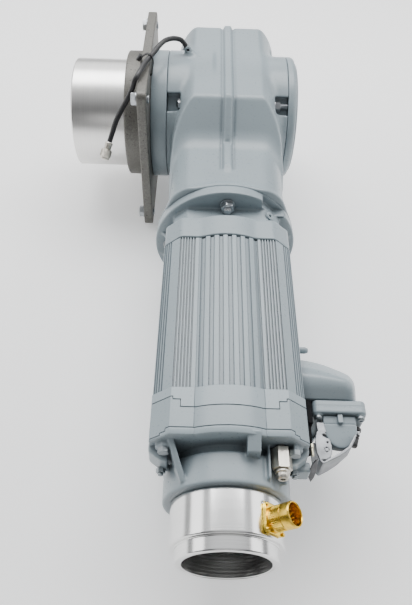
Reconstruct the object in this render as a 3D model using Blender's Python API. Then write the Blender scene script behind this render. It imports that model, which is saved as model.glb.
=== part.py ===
"""Right-angle helical-worm geared servomotor with a flange-mounted output hub.

All driving dimensions are in millimetres. The motor axis runs along Y, with the motor's free end
toward -Y and the gear unit toward +Y. The output axis runs along X. Z is up.
"""

import math

import bmesh
import bpy
from mathutils import Vector

MM = 0.001

# Where the drawing origin (motor axis at the flange face) lands in the finished frame.
SHIFT = Vector((33.46, 23.05, 80.0))

# Axes
OUTPUT_Y, OUTPUT_Z = 209.0, 32.0
WORM_Z = -32.0
OUTPUT_AT = (0.0, OUTPUT_Y, OUTPUT_Z)
WORM_AT = (0.0, OUTPUT_Y, WORM_Z)
MOTOR_AT = (0.0, 0.0, 0.0)

# Gear train
WORM_LEAD = 10.053
WORM_TIP_R, WORM_CORE_R = 15.6, 9.4
WHEEL_TEETH, WHEEL_TIP_R, WHEEL_ROOT_R, WHEEL_PITCH_R = 32, 54.0, 47.8, 51.2
WHEEL_HALF_WIDTH = 13.0
GEAR_TEETH, GEAR_TIP_R, GEAR_ROOT_R, GEAR_PITCH_R = 36, 24.2, 21.6, 23.04
PINION_TEETH, PINION_TIP_R, PINION_ROOT_R, PINION_PITCH_R = 14, 10.1, 7.5, 8.96
STAGE_LOW_Y, STAGE_HIGH_Y = 38.0, 58.0
STAGE_HELIX_TAN = 0.2204

# Gear housing
BLOCK_HALF_X = 43.0
BLOCK_LOW_Y, BLOCK_HIGH_Y = 133.0, 301.0
BLOCK_LOW_Z, BLOCK_HIGH_Z = -46.0, 110.0
LEFT_BOSS_R, RIGHT_BOSS_R, BOSS_HALF_X = 80.0, 76.5, 74.0
NECK_HALF_X, NECK_LOW_Z, NECK_HIGH_Z = 64.5, -66.0, 74.0
CHAMBER_R, CHAMBER_HALF_X = 60.5, 36.0
BEARING_SEAT_R = 55.6

# The sloping shoulder between the block and the neck, as (half width, y, z)
SLOPE_POINTS = (
    (BLOCK_HALF_X - 0.3, 134.0, 109.6),
    (BLOCK_HALF_X - 0.3, 170.0, 109.6),
    (61.5, 96.0, 73.6),
    (61.5, 96.0, -40.0),
    (61.5, 168.0, -40.0),
)

# Output side
RING_R, RING_LOW_X, RING_HIGH_X = 80.0, -93.7, -74.3
PLATE_LOW_X, PLATE_HIGH_X, PLATE_HALF = -105.5, -94.0, 100.5
PLATE_Y, PLATE_Z = 209.0, 23.5
PLATE_BOSS_R, PLATE_BOSS_X = 78.4, -126.2
HUB_R, HUB_LOW_X, HUB_HIGH_X, HUB_FLOOR_X = 67.5, -193.0, -126.5, -182.0
SHAFT_R, SHAFT_BORE_R = 35.0, 25.0
FLANGE_BOLT_HALF = 86.5
STUD_RING_R, POCKET_R = 71.0, 77.8

# Motor
MOTOR_FLANGE_R, MOTOR_FLANGE_TOP_Y = 80.0, 12.3
MOTOR_SIDE_X, MOTOR_FLAT_Z, MOTOR_ARC_R, MOTOR_ARC_X = 65.5, 65.2, 71.0, 28.0
MOTOR_STUD_R = 63.0
SHIELD_END_Y, RIB_END_Y, FRAME_END_Y = -52.0, -232.0, -252.0
BAND_END_Y, LIP_END_Y, COLLAR_END_Y = -270.0, -277.0, -308.0
COLLAR_R, STATOR_R = 54.5, 57.0
SLEEVE_R, SLEEVE_STEP_Y, SLEEVE_LIP_R, SLEEVE_END_Y, SLEEVE_THREAD_R = 47.6, -344.0, 43.1, -355.6, 36.6

# Round connector on the sleeve
PLUG_ANGLE, PLUG_Y, PLUG_BASE_R, PLUG_TIP_R = math.radians(43.0), -328.8, 48.0, 69.0

# The cord leaves the housing's left shoulder, clears the plate's top edge and hangs beside the hub.
CORD_R, GLAND_R = 3.0, 4.6
GLAND_FOOT, GLAND_TIP = Vector((-36.0, 216.0, 98.0)), Vector((-54.5, 223.5, 123.0))
CORD_ROUTE = [
    (-48.7, 221.2, 115.2),
    (-56.2, 224.2, 125.3),
    (-60.5, 224.3, 129.0),
    (-68.9, 219.9, 132.5),
    (-78.1, 211.1, 134.0),
    (-84.6, 198.7, 133.5),
    (-90.9, 184.6, 131.5),
    (-97.0, 170.0, 129.2),
    (-101.6, 154.5, 129.0),
    (-105.6, 145.5, 128.6),
    (-110.2, 140.5, 124.6),
    (-112.0, 139.5, 118.8),
    (-115.3, 138.0, 112.5),
    (-121.8, 133.0, 102.6),
    (-127.0, 125.0, 93.0),
    (-131.4, 117.8, 83.5),
    (-135.6, 110.1, 73.5),
    (-139.6, 102.5, 64.0),
]

# Cable tie: a strap over the cord and the plate's top edge, back through a slot in the plate.
TIE_Y, TIE_SLOT_Z = 172.0, 112.0

# Fit-up gap between touching pieces
GAP = 0.3

# Sides given to round pieces, by size
LARGE, MEDIUM, SMALL, TINY = 32, 20, 16, 8

STEEL = ((0.62, 0.62, 0.63), 1.0, 0.32)
GREY_PAINT = ((0.36, 0.41, 0.44), 0.0, 0.42)
IRON = ((0.13, 0.125, 0.115), 0.8, 0.55)
ZINC = ((0.70, 0.73, 0.76), 1.0, 0.28)
ALUMINIUM = ((0.80, 0.80, 0.79), 1.0, 0.25)
BRONZE = ((0.55, 0.36, 0.14), 1.0, 0.38)
GOLD = ((0.80, 0.56, 0.20), 1.0, 0.24)
BLACK = ((0.015, 0.015, 0.017), 0.0, 0.5)
COPPER = ((0.60, 0.25, 0.12), 1.0, 0.4)


def clear_scene():
    for obj in list(bpy.data.objects):
        bpy.data.objects.remove(obj, do_unlink=True)


def finish_of(name, finish):
    colour, metallic, roughness = finish
    material = bpy.data.materials.new(name + "_finish")
    material.use_nodes = True
    shader = material.node_tree.nodes["Principled BSDF"]
    shader.inputs["Base Color"].default_value = (*colour, 1.0)
    shader.inputs["Metallic"].default_value = metallic
    shader.inputs["Roughness"].default_value = roughness
    material.diffuse_color = (*colour, 1.0)
    return material


def add_mesh(name, points, faces, finish, origin, smooth_angle=35.0):
    """A closed mesh from points in drawing millimetres, with its origin at the given point."""
    mesh = bpy.data.meshes.new(name)
    home = Vector(origin)
    mesh.from_pydata([(Vector(p) - home) * MM for p in points], [], faces)
    work = bmesh.new()
    work.from_mesh(mesh)
    bmesh.ops.recalc_face_normals(work, faces=work.faces)
    for face in work.faces:
        face.smooth = True
    for edge in work.edges:
        edge.smooth = len(edge.link_faces) == 2 and edge.calc_face_angle(0.0) < math.radians(smooth_angle)
    work.to_mesh(mesh)
    work.free()
    obj = bpy.data.objects.new(name, mesh)
    obj.location = (home + SHIFT) * MM
    bpy.context.scene.collection.objects.link(obj)
    if finish is not None:
        mesh.materials.append(finish_of(name, finish))
    return obj


def frame_of(axis):
    """Two directions square to the axis, and the axis, as a right-handed set."""
    along = Vector(axis).normalized()
    aside = Vector((0, 0, 1)) if abs(along.z) < 0.9 else Vector((0, 1, 0))
    u = aside.cross(along).normalized()
    return u, along.cross(u), along


def lathe(name, outline, centre, axis, segments, finish, origin=None, phase=0.0):
    """Turns a closed outline of (radius, distance along the axis) about the axis through centre."""
    u, v, along = frame_of(axis)
    base = Vector(centre)
    points, rings = [], []
    for radius, distance in outline:
        middle = base + along * distance
        if radius < 1e-6:
            rings.append([len(points)])
            points.append(middle)
            continue
        start = len(points)
        for k in range(segments):
            angle = phase + 2 * math.pi * k / segments
            points.append(middle + (u * math.cos(angle) + v * math.sin(angle)) * radius)
        rings.append(list(range(start, start + segments)))
    faces = []
    for i, ring in enumerate(rings):
        other = rings[(i + 1) % len(rings)]
        if len(ring) == 1 and len(other) == 1:
            continue
        for k in range(segments):
            n = (k + 1) % segments
            if len(ring) == 1:
                faces.append((ring[0], other[n], other[k]))
            elif len(other) == 1:
                faces.append((ring[k], ring[n], other[0]))
            else:
                faces.append((ring[k], ring[n], other[n], other[k]))
    return add_mesh(name, points, faces, finish, centre if origin is None else origin)


def prism(name, outline, axis, low, high, finish, origin=(0, 0, 0), centre=(0, 0, 0)):
    """Extrudes a closed outline along X, Y or Z; outline pairs are the other two axes in order."""
    index = "XYZ".index(axis)
    points = []
    for distance in (low, high):
        for a, b in outline:
            pair = [a, b]
            pair.insert(index, distance)
            points.append(Vector(pair) + Vector(centre))
    n = len(outline)
    faces = [tuple(range(n)), tuple(range(2 * n - 1, n - 1, -1))]
    for k in range(n):
        m = (k + 1) % n
        faces.append((k, m, m + n, k + n))
    return add_mesh(name, points, faces, finish, origin)


def box(name, low, high, finish, origin=(0, 0, 0)):
    outline = [(low[0], low[1]), (high[0], low[1]), (high[0], high[1]), (low[0], high[1])]
    return prism(name, outline, "Z", low[2], high[2], finish, origin)


def loft(name, sections, finish, origin=(0, 0, 0)):
    """A closed skin through sections with the same number of points."""
    n = len(sections[0])
    points = [Vector(p) for section in sections for p in section]
    faces = [tuple(range(n)), tuple(range(len(points) - 1, len(points) - n - 1, -1))]
    for s in range(len(sections) - 1):
        for k in range(n):
            m = (k + 1) % n
            faces.append((s * n + k, s * n + m, s * n + n + m, s * n + n + k))
    return add_mesh(name, points, faces, finish, origin)


def hull(name, points, finish):
    """The convex body round the points."""
    obj = add_mesh(name, points, [], finish, (0, 0, 0))
    work = bmesh.new()
    work.from_mesh(obj.data)
    bmesh.ops.convex_hull(work, input=work.verts)
    bmesh.ops.recalc_face_normals(work, faces=work.faces)
    work.to_mesh(obj.data)
    work.free()
    return obj


def rod(name, radius, start, end, segments, finish=None):
    along = Vector(end) - Vector(start)
    outline = [(0, 0), (radius, 0), (radius, along.length), (0, along.length)]
    return lathe(name, outline, start, along, segments, finish)


def rods(name, radius, spans, segments):
    """Several separate cylinders in one cutter."""
    points, faces = [], []
    for start, end in spans:
        along = Vector(end) - Vector(start)
        u, v, _ = frame_of(along)
        first = len(points)
        for middle in (Vector(start), Vector(end)):
            for k in range(segments):
                angle = 2 * math.pi * (k + 0.5) / segments
                points.append(middle + (u * math.cos(angle) + v * math.sin(angle)) * radius)
        faces.append(tuple(range(first, first + segments)))
        faces.append(tuple(range(first + 2 * segments - 1, first + segments - 1, -1)))
        for k in range(segments):
            n = (k + 1) % segments
            faces.append((first + k, first + n, first + segments + n, first + segments + k))
    return add_mesh(name, points, faces, None, (0, 0, 0))


def boolean(target, operation, tools, tolerant=False):
    for tool in tools:
        tool.hide_render = True
        tool.display_type = "WIRE"
        modifier = target.modifiers.new(operation.lower() + "_" + tool.name, "BOOLEAN")
        modifier.operation = operation
        modifier.solver = "EXACT"
        modifier.object = tool
        modifier.use_hole_tolerant = tolerant


def rounded(half_a, half_b, radius, steps, centre=(0.0, 0.0)):
    """A rectangle's outline with rounded corners."""
    outline = []
    for quarter, (sa, sb) in enumerate(((1, 1), (-1, 1), (-1, -1), (1, -1))):
        for k in range(steps + 1):
            angle = math.pi / 2 * (quarter + k / steps)
            a = centre[0] + sa * (half_a - radius) + radius * math.cos(angle)
            b = centre[1] + sb * (half_b - radius) + radius * math.sin(angle)
            outline.append((a, b))
    return outline


def round_the_output(radius, degrees):
    """The (y, z) of a point round the output axis; 0 degrees is toward the motor, 90 is up."""
    angle = math.radians(degrees)
    return OUTPUT_Y - radius * math.cos(angle), OUTPUT_Z + radius * math.sin(angle)


def toothed(name, teeth, root, tip, root_half, tip_half, bore, ends, twist, at, axis, finish, middle=0.0):
    """A gear with straight-flanked teeth; twist is radians of turn per mm, middle a tooth's angle."""
    u, v, along = frame_of(axis)
    sections = []
    steps = 2 if abs(twist) * (ends[1] - ends[0]) < 0.3 else 3
    for s in range(steps):
        distance = ends[0] + (ends[1] - ends[0]) * s / (steps - 1)
        section = []
        for t in range(teeth):
            for half, radius in ((-root_half, root), (-tip_half, tip), (tip_half, tip), (root_half, root)):
                angle = middle + 2 * math.pi * t / teeth + half + twist * distance
                section.append(
                    Vector(at) + along * distance + (u * math.cos(angle) + v * math.sin(angle)) * radius
                )
        sections.append(section)
    gear = loft(name, sections, finish, at)
    if bore:
        cutter = rod(name + "_bore", clear_of(bore, MEDIUM), Vector(at) + along * (ends[0] - 5), Vector(at) + along * (ends[1] + 5), MEDIUM)
        boolean(gear, "DIFFERENCE", [cutter])
    return gear


def threaded_shaft(name, core, tip, lead, turns, columns, low_end, high_end, at, axis, finish, middle):
    """A shaft with a single-start right-hand thread; the ends are outlines of (radius, distance)."""
    u, v, along = frame_of(axis)
    edges = ((0.06, 0), (0.34, 1), (0.54, 1), (0.82, 0))
    per_turn = len(edges)
    rows = turns * per_turn
    points, faces = [], []

    def place(radius, angle, distance):
        points.append(Vector(at) + along * distance + (u * math.cos(angle) + v * math.sin(angle)) * radius)
        return len(points) - 1

    grid = []
    for c in range(columns):
        column = []
        for r in range(rows + 1):
            share, raised = edges[r % per_turn]
            turned = r // per_turn + share + c / columns
            fade = min(1.0, max(0.0, min(turned, turns + 0.88 - turned) * 2.2))
            distance = (turned - turns / 2 - 0.5) * lead + middle
            column.append(place(core + (tip - core) * raised * fade, 2 * math.pi * c / columns, distance))
        grid.append(column)
    for c in range(columns):
        shift = per_turn if c == columns - 1 else 0
        beside = grid[(c + 1) % columns]
        for r in range(rows - shift):
            faces.append((grid[c][r], grid[c][r + 1], beside[r + 1 + shift], beside[r + shift]))
    low_rim = [column[0] for column in grid] + grid[0][per_turn:0:-1]
    high_rim = [column[rows] for column in grid] + grid[-1][rows - 1 : rows - per_turn - 1 : -1]
    for rim, outline, seam in ((low_rim, low_end, 0), (high_rim, high_end, columns - 1)):
        ring = [place(outline[0][0], 2 * math.pi * c / columns, outline[0][1]) for c in range(columns)]
        for c in range(columns - 1):
            faces.append((rim[c], rim[c + 1], ring[c + 1], ring[c]))
        rest = [rim[columns - 1]] + rim[columns:] + [rim[0]]
        corner = ring[0] if seam == 0 else ring[-1]
        first = 1 if seam == 0 else 0
        last = len(rest) - 1 if seam == 0 else len(rest) - 2
        for k in range(first, last):
            faces.append((rest[k], rest[k + 1], corner))
        bridge = (rest[0], rest[1]) if seam == 0 else (rest[-2], rest[-1])
        faces.append((bridge[0], bridge[1], ring[0], ring[-1]))
        for radius, distance in outline[1:]:
            if radius < 1e-6:
                pole = place(0.0, 0.0, distance)
                for c in range(columns):
                    faces.append((ring[c], ring[(c + 1) % columns], pole))
                continue
            after = [place(radius, 2 * math.pi * c / columns, distance) for c in range(columns)]
            for c in range(columns):
                n = (c + 1) % columns
                faces.append((ring[c], ring[n], after[n], after[c]))
            ring = after
    return add_mesh(name, points, faces, finish, at)


def motor_outline(grooved, grow=0.0):
    """The motor's outline in (x, z): arcs above and below, flat shoulders, chamfers and plain sides."""
    top = []
    flat = MOTOR_FLAT_Z + grow
    arc_r = MOTOR_ARC_R
    edge = 51.0 if grow else 48.0
    depth = 2.6
    arc_angle = math.asin(MOTOR_ARC_X / arc_r)
    top.append((-edge, flat))
    if grooved:
        for k in range(4):
            x = -44.0 + 3.8 * k
            top += [(x, flat), (x, flat - depth), (x + 1.5, flat - depth), (x + 1.5, flat)]
    top.append((-MOTOR_ARC_X - 1.2, flat))
    top.append((-MOTOR_ARC_X - 1.2, flat - 2.0))
    steps = 12
    for k in range(steps + 1):
        angle = -arc_angle + 2 * arc_angle * k / steps
        groove = grooved and k in (2, 4, 6, 8, 10)
        if groove:
            for offset, radius in ((-0.011, arc_r), (-0.011, arc_r - depth), (0.011, arc_r - depth), (0.011, arc_r)):
                top.append((radius * math.sin(angle + offset), radius * math.cos(angle + offset)))
        else:
            top.append((arc_r * math.sin(angle), arc_r * math.cos(angle)))
    top.append((MOTOR_ARC_X + 1.2, flat - 2.0))
    top.append((MOTOR_ARC_X + 1.2, flat))
    if grooved:
        for k in range(3, -1, -1):
            x = 44.0 - 3.8 * k
            top += [(x - 1.5, flat), (x - 1.5, flat - depth), (x, flat - depth), (x, flat)]
    top.append((edge, flat))
    side = MOTOR_SIDE_X + grow
    right = [(side, 50.0), (side, -50.0)]
    bottom = [(x, -z) for x, z in reversed(top)]
    left = [(-side, -50.0), (-side, 50.0)]
    return top + right + bottom + left


def motor_body(name, low, high, grooved, grow=0.0, finish=None):
    return prism(name, motor_outline(grooved, grow), "Y", low, high, finish)


def hex_rod(name, across, start, end, finish=None, phase=0.0):
    along = Vector(end) - Vector(start)
    radius = across / math.sqrt(3)
    outline = [(0, 0), (radius, 0), (radius, along.length), (0, along.length)]
    return lathe(name, outline, start, along, 6, finish, phase=phase)


def clear_of(radius, segments):
    """The corner radius of a many-sided bore whose flats clear a shaft of the given radius."""
    return radius / math.cos(math.pi / segments)


def ring_of(name, inner, outer, low, high, centre, axis, segments, finish):
    inner = clear_of(inner, segments)
    outline = [(inner, low), (outer, low), (outer, high), (inner, high)]
    return lathe(name, outline, centre, axis, segments, finish)


def bearing(name, inner, outer, low, high, centre, axis):
    """A sealed ball bearing as one ring with a shallow groove in its front face."""
    inner = clear_of(inner, SMALL)
    third = (outer - inner) / 4
    outline = [
        (inner, low),
        (inner + third, low),
        ((inner + outer) / 2, low + 0.8),
        (outer - third, low),
        (outer, low),
        (outer, high),
        (inner, high),
    ]
    return lathe(name, outline, centre, axis, SMALL, STEEL)


def build_gear_housing():
    block = prism(
        "gear_housing",
        rounded(
            (BLOCK_HIGH_Y - BLOCK_LOW_Y) / 2,
            (BLOCK_HIGH_Z - BLOCK_LOW_Z) / 2,
            12.0,
            4,
            ((BLOCK_HIGH_Y + BLOCK_LOW_Y) / 2, (BLOCK_HIGH_Z + BLOCK_LOW_Z) / 2),
        ),
        "X",
        -BLOCK_HALF_X,
        BLOCK_HALF_X,
        GREY_PAINT,
    )
    bosses = lathe(
        "housing_bosses",
        [(0, -BOSS_HALF_X), (LEFT_BOSS_R, -BOSS_HALF_X), (LEFT_BOSS_R, -BLOCK_HALF_X + 2.0),
         (RIGHT_BOSS_R, BLOCK_HALF_X - 2.0), (RIGHT_BOSS_R, BOSS_HALF_X), (0, BOSS_HALF_X)],
        OUTPUT_AT,
        (1, 0, 0),
        LARGE,
        None,
    )
    neck = prism(
        "housing_neck",
        rounded(
            NECK_HALF_X,
            (NECK_HIGH_Z - NECK_LOW_Z) / 2,
            42.0,
            6,
            (0.0, (NECK_HIGH_Z + NECK_LOW_Z) / 2),
        ),
        "Y",
        MOTOR_FLANGE_TOP_Y + GAP,
        150.0,
        None,
    )
    flare_low = MOTOR_FLANGE_TOP_Y + GAP
    flare = lathe(
        "housing_flare",
        [(0, flare_low), (79.6, flare_low), (79.6, flare_low + 4), (62.0, 44.0), (0, 44.0)],
        MOTOR_AT,
        (0, 1, 0),
        LARGE,
        None,
    )
    slope = hull(
        "housing_slope",
        [(sx * x, y, z) for sx in (-1, 1) for x, y, z in SLOPE_POINTS],
        None,
    )
    tunnel = box("housing_worm_tunnel", (-29, 60, -59.5), (29, BLOCK_HIGH_Y - 0.4, -20), None)
    ridge_outline = [(45, 60), (45, 77), (86, 77), (100, 81), (131, 113), (295, 113), (303.5, 104),
                     (303.5, -30), (289, -30), (289, 60)]
    ridge = prism("housing_ridge", ridge_outline, "X", -5.5, 5.5, None)
    gland = rod("housing_gland", GLAND_R, GLAND_FOOT, GLAND_TIP, 16)
    boolean(block, "UNION", [bosses, neck, flare, slope, tunnel, ridge, gland])
    chamber = lathe(
        "housing_chamber",
        [
            (0, -BOSS_HALF_X - 5),
            (52.0, -BOSS_HALF_X - 5),
            (52.0, -61.0),
            (BEARING_SEAT_R, -61.0),
            (BEARING_SEAT_R, -CHAMBER_HALF_X - 1),
            (CHAMBER_R, -CHAMBER_HALF_X),
            (CHAMBER_R, BOSS_HALF_X + 5),
            (0, BOSS_HALF_X + 5),
        ],
        OUTPUT_AT,
        (1, 0, 0),
        LARGE,
        None,
    )
    worm_bore = lathe(
        "housing_worm_bore",
        [
            (0, 60),
            (13.0, 60),
            (13.0, 103.7),
            (20.7, 103.7),
            (20.7, 118.5),
            (18.0, 119.0),
            (18.0, 274.0),
            (20.7, 274.5),
            (20.7, 310.0),
            (0, 310.0),
        ],
        (0, 0, WORM_Z),
        (0, 1, 0),
        MEDIUM,
        None,
    )
    gear_chamber = rod("housing_gear_chamber", 56.8, (0, 5, 0), (0, 88, 0), LARGE)
    cutters = [chamber, worm_bore, gear_chamber]
    stud_spans = []
    for k, degrees in enumerate((45, 135, 225, 315)):
        y, z = round_the_output(POCKET_R, degrees)
        for side, sign in (("left", -1), ("right", 1)):
            pocket = box(
                f"pocket_{side}_{k}",
                (-8.6, -13.5, -10.0),
                (8.6, 13.5, 10.0),
                None,
            )
            pocket.location = (Vector((sign * 65.8, y, z)) + SHIFT) * MM
            pocket.rotation_euler = (-math.radians(degrees), 0, 0)
            cutters.append(pocket)
            y_s, z_s = round_the_output(STUD_RING_R, degrees)
            stud_spans.append(((sign * 50.0, y_s, z_s), (sign * 60.0, y_s, z_s)))
    cutters.append(rods("housing_stud_holes", 4.75, stud_spans, TINY))
    out = (GLAND_TIP - GLAND_FOOT).normalized()
    cutters.append(rod("cord_hole", clear_of(CORD_R + GAP, 16), GLAND_TIP - out * 12, GLAND_TIP + out * 6, 16))
    cutters.append(rod("level_plug_hole", 6.7, (55, 96, 6), (75, 96, 6), 12))
    boolean(block, "DIFFERENCE", cutters, tolerant=True)


def smooth_route(route, per_span):
    """Points of a centripetal-free Catmull-Rom curve through the route."""
    points = []
    ends = [route[0]] + list(route) + [route[-1]]
    for i in range(1, len(ends) - 2):
        p0, p1, p2, p3 = (Vector(ends[i + k]) for k in (-1, 0, 1, 2))
        for k in range(per_span):
            t = k / per_span
            points.append(
                0.5
                * (
                    2 * p1
                    + (p2 - p0) * t
                    + (2 * p0 - 5 * p1 + 4 * p2 - p3) * t * t
                    + (3 * p1 - p0 - 3 * p2 + p3) * t ** 3
                )
            )
    points.append(Vector(route[-1]))
    return points


def build_cord():
    data = bpy.data.curves.new("sensor_cord", "CURVE")
    data.dimensions = "3D"
    data.bevel_depth = CORD_R * MM
    data.bevel_resolution = 2
    data.use_fill_caps = True
    spline = data.splines.new("POLY")
    points = smooth_route(CORD_ROUTE, 2)
    spline.points.add(len(points) - 1)
    for slot, point in zip(spline.points, points):
        slot.co = (*((point + SHIFT) * MM), 1.0)
    obj = bpy.data.objects.new("sensor_cord", data)
    bpy.context.scene.collection.objects.link(obj)
    data.materials.append(finish_of("sensor_cord", BLACK))
    tip = points[-1]
    heading = (points[-1] - points[-2]).normalized()
    body = tip + heading * GAP
    lathe(
        "cord_connector",
        [(0, 0), (4.0, 0), (4.6, 1.5), (4.6, 8.0), (3.0, 8.0), (3.0, 19.0), (0, 19.0)],
        body,
        heading,
        16,
        STEEL,
    )
    nut = lathe(
        "cord_coupling_nut",
        [(3.4, 8.4), (6.0, 8.4), (6.6, 9.4), (6.6, 17.5), (5.4, 20.5), (3.4, 20.5)],
        body,
        heading,
        12,
        ZINC,
    )
    return nut


def build_output_side():
    ring_of("output_ring", 50.4, RING_R, RING_LOW_X, RING_HIGH_X, OUTPUT_AT, (1, 0, 0), LARGE, GREY_PAINT)
    holes = []
    for k, degrees in enumerate((45, 135, 225, 315)):
        y, z = round_the_output(STUD_RING_R, degrees)
        holes.append(rod(f"ring_hole_{k}", 4.75, (-100, y, z), (-60, y, z), TINY))
    boolean(bpy.data.objects["output_ring"], "DIFFERENCE", holes)
    plate = prism(
        "output_flange",
        rounded(PLATE_HALF, PLATE_HALF, 8.0, 4, (PLATE_Y, PLATE_Z)),
        "X",
        PLATE_LOW_X,
        PLATE_HIGH_X,
        IRON,
    )
    boss = lathe(
        "flange_boss",
        [(0, PLATE_LOW_X + 4), (PLATE_BOSS_R, PLATE_LOW_X + 4), (PLATE_BOSS_R, PLATE_BOSS_X + 1.5),
         (PLATE_BOSS_R - 1.5, PLATE_BOSS_X), (0, PLATE_BOSS_X)],
        OUTPUT_AT,
        (1, 0, 0),
        LARGE,
        None,
    )
    boolean(plate, "UNION", [boss])
    bore = rod("flange_bore", clear_of(50.4, MEDIUM), (-130, OUTPUT_Y, OUTPUT_Z), (-85, OUTPUT_Y, OUTPUT_Z), MEDIUM)
    cutters = [bore]
    for k, (sy, sz) in enumerate(((1, 1), (-1, 1), (-1, -1), (1, -1))):
        y, z = PLATE_Y + sy * FLANGE_BOLT_HALF, PLATE_Z + sz * FLANGE_BOLT_HALF
        cutters.append(rod(f"flange_hole_{k}", 5.7, (-115, y, z), (-85, y, z), TINY))
        seat_x = PLATE_LOW_X - GAP
        head = hex_rod(f"flange_bolt_{k + 1}", 14.0, (seat_x, y, z), (seat_x - 6.8, y, z), ZINC)
        shank = rod(f"flange_shank_{k}", 4.9, (seat_x - 1, y, z), (PLATE_HIGH_X + 2, y, z), TINY)
        boolean(head, "UNION", [shank])
    slot_low, slot_high = (-115, TIE_Y - 3.2, TIE_SLOT_Z - 1.2), (-85, TIE_Y + 3.2, TIE_SLOT_Z + 1.2)
    cutters.append(box("tie_slot", slot_low, slot_high, None))
    boolean(plate, "DIFFERENCE", cutters)
    lathe(
        "output_hub",
        [(35.3, HUB_FLOOR_X), (60.0, HUB_FLOOR_X), (60.0, HUB_LOW_X), (HUB_R - 1.5, HUB_LOW_X), (HUB_R, HUB_LOW_X + 1.5),
         (HUB_R, HUB_HIGH_X - 0.8), (HUB_R - 0.8, HUB_HIGH_X), (35.3, HUB_HIGH_X)],
        OUTPUT_AT,
        (1, 0, 0),
        LARGE,
        ALUMINIUM,
    )
    lathe(
        "output_shaft",
        [(SHAFT_BORE_R, -186.0), (SHAFT_R - 1, -186.0), (SHAFT_R, -185.0), (SHAFT_R, 85.0),
         (SHAFT_R - 1, 86.0), (SHAFT_BORE_R, 86.0)],
        OUTPUT_AT,
        (1, 0, 0),
        MEDIUM,
        STEEL,
    )
    bearing("output_bearing_left", 35.3, 54.8, -60.5, -40.5, OUTPUT_AT, (1, 0, 0))
    bearing("output_bearing_right", 35.3, 52.2, 42.5, 62.5, OUTPUT_AT, (1, 0, 0))
    ring_of("output_seal_left", 35.3, 49.8, -90.0, -80.0, OUTPUT_AT, (1, 0, 0), SMALL, BLACK)
    ring_of("output_seal_right", 35.3, 46.0, 76.5, 84.0, OUTPUT_AT, (1, 0, 0), SMALL, BLACK)
    lathe(
        "housing_cover",
        [(46.4, 66.0), (52.6, 66.0), (52.6, 42.0), (60.1, 42.0), (60.1, 74.3), (RIGHT_BOSS_R, 74.3),
         (RIGHT_BOSS_R, 81.5), (73.0, 85.5), (64.0, 87.5), (46.4, 87.5)],
        OUTPUT_AT,
        (1, 0, 0),
        LARGE,
        GREY_PAINT,
    )
    cover_holes = []
    for k, degrees in enumerate((45, 135, 225, 315)):
        y, z = round_the_output(STUD_RING_R, degrees)
        cover_holes.append(rod(f"cover_hole_{k}", 4.75, (70, y, z), (95, y, z), TINY))
        nut = hex_rod(f"cover_stud_{k + 1}", 11.0, (58.0, y, z), (64.5, y, z), ZINC, phase=0.3)
        boolean(nut, "UNION", [rod(f"cover_stud_rod_{k}", 4.0, (51.0, y, z), (84.0, y, z), TINY)])
        left = hex_rod(f"ring_stud_{k + 1}", 11.0, (-58.0, y, z), (-64.5, y, z), ZINC, phase=0.3)
        boolean(left, "UNION", [rod(f"ring_stud_rod_{k}", 4.0, (-51.0, y, z), (-92.0, y, z), TINY)])
    boolean(bpy.data.objects["housing_cover"], "DIFFERENCE", cover_holes)


def build_cable_tie():
    low, top = TIE_SLOT_Z - 0.6, PLATE_Z + PLATE_HALF + 8.5
    left, right = PLATE_LOW_X, PLATE_HIGH_X
    outer = [(right + 1.7, low), (right + 4.2, top - 5.0), (right + 3.4, top + 1.0), (right - 1.0, top + 2.6),
             (right - 6.5, top + 3.0), (left - 1.0, top + 1.5), (left - 4.6, top - 3.0), (left - 3.0, low)]
    inner = [(left - 1.7, low + 1.2), (left - 3.2, top - 3.0), (left - 0.4, top + 0.2), (right - 6.3, top + 1.6),
             (right - 1.3, top + 1.2), (right + 2.2, top - 0.2), (right + 2.9, top - 4.8), (right + 0.5, low + 1.2)]
    strap = prism("cable_tie", outer, "Y", TIE_Y - 2.4, TIE_Y + 2.4, BLACK)
    hole = prism("tie_inside", inner, "Y", TIE_Y - 8, TIE_Y + 8, None)
    head = box("tie_head", (left - 10.0, TIE_Y - 4.2, 122.0), (left - 3.6, TIE_Y + 4.2, 130.0), None)
    boolean(strap, "DIFFERENCE", [hole])
    boolean(strap, "UNION", [head])


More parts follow.
